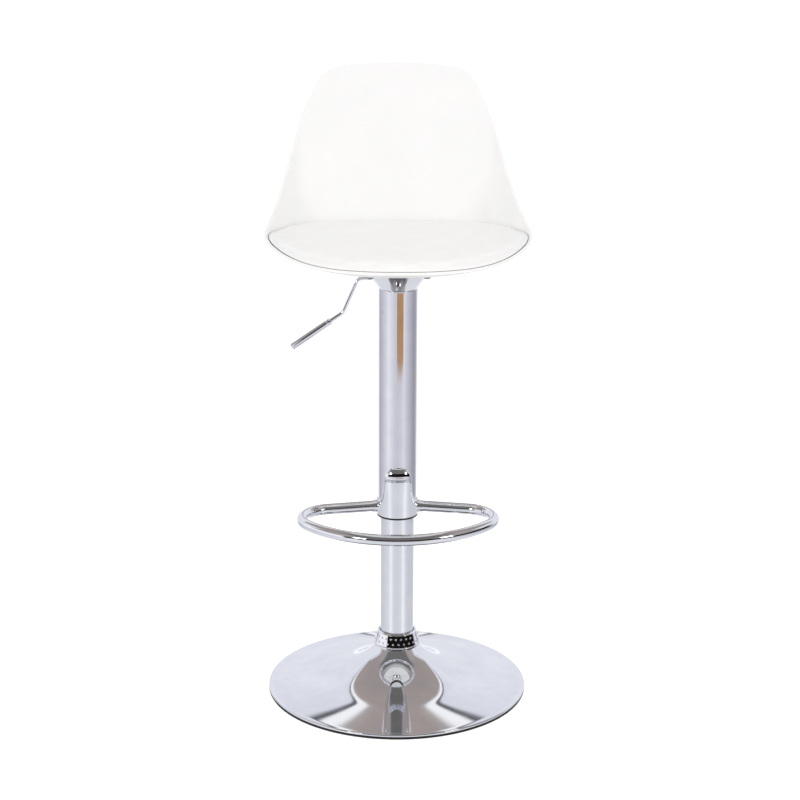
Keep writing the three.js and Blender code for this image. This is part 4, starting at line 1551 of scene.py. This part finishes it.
@dataclass
class Studio:
    """A white studio: a pale floor, two soft boxes in front, and the set that mirror surfaces see.

    Attributes:
        distance: from the column to the camera, in metres.
        height: of the camera.
        azimuth: of the camera, in degrees to the left of straight in front.
        tilt: of the camera below level, in degrees.
        pan: a little more turn to the left.
        roll: of the camera.
        lens: its focal length in millimetres, on a 36 mm sensor.
        floor_glow: light that the floor adds straight to the view, to keep it a plain white.
    """

    distance: float = 2.70
    height: float = 1.216
    azimuth: float = 1.2
    tilt: float = 15.9
    pan: float = 0.071
    roll: float = 0.23
    lens: float = 86.985
    floor_glow: float = 0.5

    def camera(self) -> None:
        """Sets the camera in front of the stool, a little above the seat."""
        data = bpy.data.cameras.new("camera")
        data.lens = self.lens
        data.sensor_width = 36
        camera = bpy.data.objects.new("camera", data)
        bpy.context.scene.collection.objects.link(camera)
        around = math.radians(self.azimuth)
        place = Vector((-self.distance * math.sin(around), -self.distance * math.cos(around), self.height))
        turn = Matrix.Rotation(math.radians(-self.azimuth - self.pan), 4, "Z")
        lean = Matrix.Rotation(math.radians(90 - self.tilt), 4, "X")
        roll = Matrix.Rotation(math.radians(self.roll), 4, "Z")
        camera.matrix_world = Matrix.Translation(place) @ turn @ lean @ roll
        bpy.context.scene.camera = camera

    def floor(self) -> None:
        """Lays a pale matt floor.

        Its glow keeps the stool's own shadow faint, and only the camera sees it. Mirrors don't see the floor.
        """
        deselect()
        bpy.ops.mesh.primitive_plane_add(size=40)
        floor = new_piece("studio_floor")
        made = bpy.data.materials.new("PaleFloor")
        made.use_nodes = True
        tree = made.node_tree
        shader = tree.nodes["Principled BSDF"]
        shader.inputs["Base Color"].default_value = linear("#ebebec")
        shader.inputs["Roughness"].default_value = 0.9
        shader.inputs["Emission Color"].default_value = linear("#ffffff")
        straight = add_node(tree, "ShaderNodeLightPath").outputs["Is Camera Ray"]
        glow = add_node(tree, "ShaderNodeMath", {0: straight, 1: self.floor_glow}, operation="MULTIPLY")
        tree.links.new(glow.outputs[0], shader.inputs["Emission Strength"])
        floor.data.materials.append(made)
        floor.visible_glossy = False

    def soft_box(
        self, name: str, azimuth: float, elevation: float, size: tuple[float, float], power: float
    ) -> None:
        """Hangs a rectangular soft box that faces the stool.

        Args:
            name: the light's name.
            azimuth: degrees to the right of straight in front.
            elevation: degrees above the floor.
            size: width and height in metres.
            power: in watts.
        """
        data = bpy.data.lights.new(name, "AREA")
        data.shape = "RECTANGLE"
        data.size, data.size_y = size
        data.energy = power
        light = bpy.data.objects.new(name, data)
        bpy.context.scene.collection.objects.link(light)
        turn, rise = math.radians(azimuth), math.radians(elevation)
        away = Vector((math.sin(turn) * math.cos(rise), -math.cos(turn) * math.cos(rise), math.sin(rise)))
        light.location = Vector((0, 0, 0.4)) + away * 2.3
        light.rotation_euler = away.to_track_quat("Z", "Y").to_euler()

    def sky(self) -> None:
        """Builds the surroundings.

        A look straight past the stool meets plain white. Matt surfaces are lit by an even white that is a
        little stronger from the front. Glossy rays alone see a set of colours, placed by direction to suit
        this camera. Above the horizon are white panels behind with a brown gap, and a dark room low in front
        with a white panel on the left. Below it are two bands: from this camera the cover sleeve mirrors the
        upper one, with its tan streak, and the column tube the lower one. In other views both bands fall
        elsewhere on the column. The set is no real surroundings, and no part of the exported model.
        """
        world = bpy.data.worlds.new("studio")
        bpy.context.scene.world = world
        world.use_nodes = True
        tree = world.node_tree
        tree.nodes.clear()

        def calc(operation: str, *values: Socket | float) -> Socket:
            """Adds a Math node and returns its result."""
            inputs = dict(enumerate(values))
            return add_node(tree, "ShaderNodeMath", inputs, operation=operation).outputs[0]

        def blend(share: Socket, first: Socket | str, second: Socket | str) -> Socket:
            """Mixes two colours.

            Args:
                share: how much of the second shows.
                first: a socket or a hex value.
                second: the same.

            Returns:
                The mixed colour.
            """
            made = add_node(tree, "ShaderNodeMix", data_type="RGBA")
            for socket, value in ((made.inputs[0], share), (made.inputs[6], first), (made.inputs[7], second)):
                if isinstance(value, Socket):
                    tree.links.new(value, socket)
                else:
                    socket.default_value = linear(value)
            return made.outputs[2]

        def step(value: Socket, low: float, high: float) -> Socket:
            """Runs smoothly from 0 at low to 1 at high."""
            inputs = {"Value": value, "From Min": low, "From Max": high}
            return add_node(tree, "ShaderNodeMapRange", inputs, interpolation_type="SMOOTHSTEP").outputs[0]

        direction = add_node(tree, "ShaderNodeTexCoord").outputs["Generated"]
        faced = {"Vector": direction, "Angle": math.radians(self.azimuth)}
        turned_set = add_node(tree, "ShaderNodeVectorRotate", faced, rotation_type="Z_AXIS")
        split = add_node(tree, "ShaderNodeSeparateXYZ", {0: turned_set.outputs[0]})
        x, y, z = split.outputs
        turn = calc("MULTIPLY_ADD", calc("ARCTAN2", x, calc("MULTIPLY", y, -1.0)), 0.5 / math.pi, 0.5)

        sleeve_side = add_ramp(tree, turn, self.around(
            (-180, "#fafaff"), (-150, "#f4f4f8"), (-128, "#aeaeb6"), (-100, "#c2c1cb"), (-74, "#d8d7de"),
            (-55, "#eae9ef"), (-36, "#dddce3"), (-18, "#cfced7"), (0, "#cbcad3"), (20, "#d2d1da"),
            (36, "#dedde5"), (52, "#cdccd5"), (76, "#b6b6c0"), (104, "#9d9ca5"), (126, "#a4a3ac"),
            (150, "#f0f0f4"), (180, "#fafaff"),
        ))
        tube_side = add_ramp(tree, turn, self.around(
            (-180, "#fafaff"), (-152, "#f4f4f8"), (-134, "#c8c9ce"), (-76, "#d8d9de"), (-58, "#e0e1e6"),
            (-43, "#f6f7fb"), (-24, "#d9dadf"), (0, "#d4d5da"), (24, "#dbdce1"), (43, "#f6f7fb"),
            (58, "#dcdde2"), (76, "#cecfd4"), (134, "#cacbd1"), (152, "#f4f4f8"), (180, "#fafaff"),
        ))
        level = blend(step(z, -0.335, -0.329), tube_side, sleeve_side)
        off_centre = calc("ABSOLUTE", calc("SUBTRACT", turn, 0.537))
        half_width = calc("MULTIPLY", step(z, -0.2625, -0.257), 0.0555)
        streak = step(calc("SUBTRACT", half_width, off_centre), 0.0, 0.006)
        streak = calc("MULTIPLY", streak, step(z, -0.205, -0.215))
        level = blend(streak, level, "#b08a63")
        below = blend(step(z, -0.75, -0.45), "#dcdde2", level)

        across = calc("ABSOLUTE", calc("DIVIDE", x, calc("MAXIMUM", z, 0.02)))
        back = calc("DIVIDE", y, calc("MAXIMUM", z, 0.02))
        gap = calc("SMOOTH_MIN", calc("SUBTRACT", across, 0.19), calc("SUBTRACT", back, 0.93), 0.1)
        gap = calc("MAXIMUM", gap, calc("SUBTRACT", across, 1.3))
        panels = add_ramp(tree, calc("ADD", gap, 0.5), (
            (0.0, "#9b9290"), (0.40, "#a29794"), (0.43, "#aca5a3"), (0.455, "#f6f6f8"), (0.49, "#fafafc"),
            (0.502, "#55565b"), (0.515, "#6c6d73"), (0.535, "#dcdde5"), (0.8, "#e6e7ee"), (1.0, "#e2e3ea"),
        ))
        between = calc("MULTIPLY", step(turn, 0.5 - 55 / 360, 0.5 - 50 / 360), step(turn, 0.83, 0.79))
        low_set = blend(between, "#f6f6fa", "#12100e")
        high_set = blend(step(calc("ABSOLUTE", x), 0.5, 0.62), "#6e6c6a", "#a29b98")
        high_set = blend(step(z, 0.93, 0.96), high_set, "#b4b5b8")
        above = blend(step(y, 0.12, -0.1), panels, high_set)
        above = blend(calc("MULTIPLY", step(z, 0.34, 0.24), step(y, 0.35, 0.1)), above, low_set)
        set_seen = blend(step(z, -0.14, -0.09), below, above)

        front = calc("MULTIPLY_ADD", y, -0.13, 0.955)
        paths = add_node(tree, "ShaderNodeLightPath").outputs
        white = add_node(tree, "ShaderNodeBackground", {"Color": linear("#ffffff"), "Strength": 1.0})
        even = add_node(tree, "ShaderNodeBackground", {"Color": linear("#ffffff"), "Strength": front})
        mirror = add_node(tree, "ShaderNodeBackground", {"Color": set_seen, "Strength": 1.1})
        seen = add_node(tree, "ShaderNodeMixShader", {0: paths["Is Glossy Ray"], 1: even.outputs[0],
                                                      2: mirror.outputs[0]})
        all_seen = add_node(tree, "ShaderNodeMixShader", {0: paths["Is Camera Ray"], 1: seen.outputs[0],
                                                          2: white.outputs[0]})
        add_node(tree, "ShaderNodeOutputWorld", {"Surface": all_seen.outputs[0]})

    def around(self, *stops: tuple[float, str]) -> list[tuple[float, str]]:
        """Turns stops in degrees, with 0 straight in front and 90 to the right, into places on a ramp."""
        return [(0.5 + degrees / 360, shade) for degrees, shade in stops]

    def build(self) -> None:
        """Builds the studio."""
        self.camera()
        self.floor()
        self.sky()
        self.soft_box("left_box", -37, 15, (0.5, 0.45), 4)
        self.soft_box("right_box", 47, 15, (0.5, 0.45), 4)
        bpy.context.scene.view_settings.view_transform = "Standard"


# ---- The whole stool ----------------------------------------------------------------------------


def main() -> None:
    """Builds the studio and every piece."""
    logging.basicConfig(level=logging.INFO, format="%(message)s")
    deselect()
    Studio().build()
    TrumpetBase().build()
    Column().build()
    Footrest().build()
    LiftLever().build()
    SeatMounting().build()
    shell = BucketShell()
    shell.build()
    SeatPad(shell).build()
    dress_mechanism()


if __name__ == "__main__":
    main()
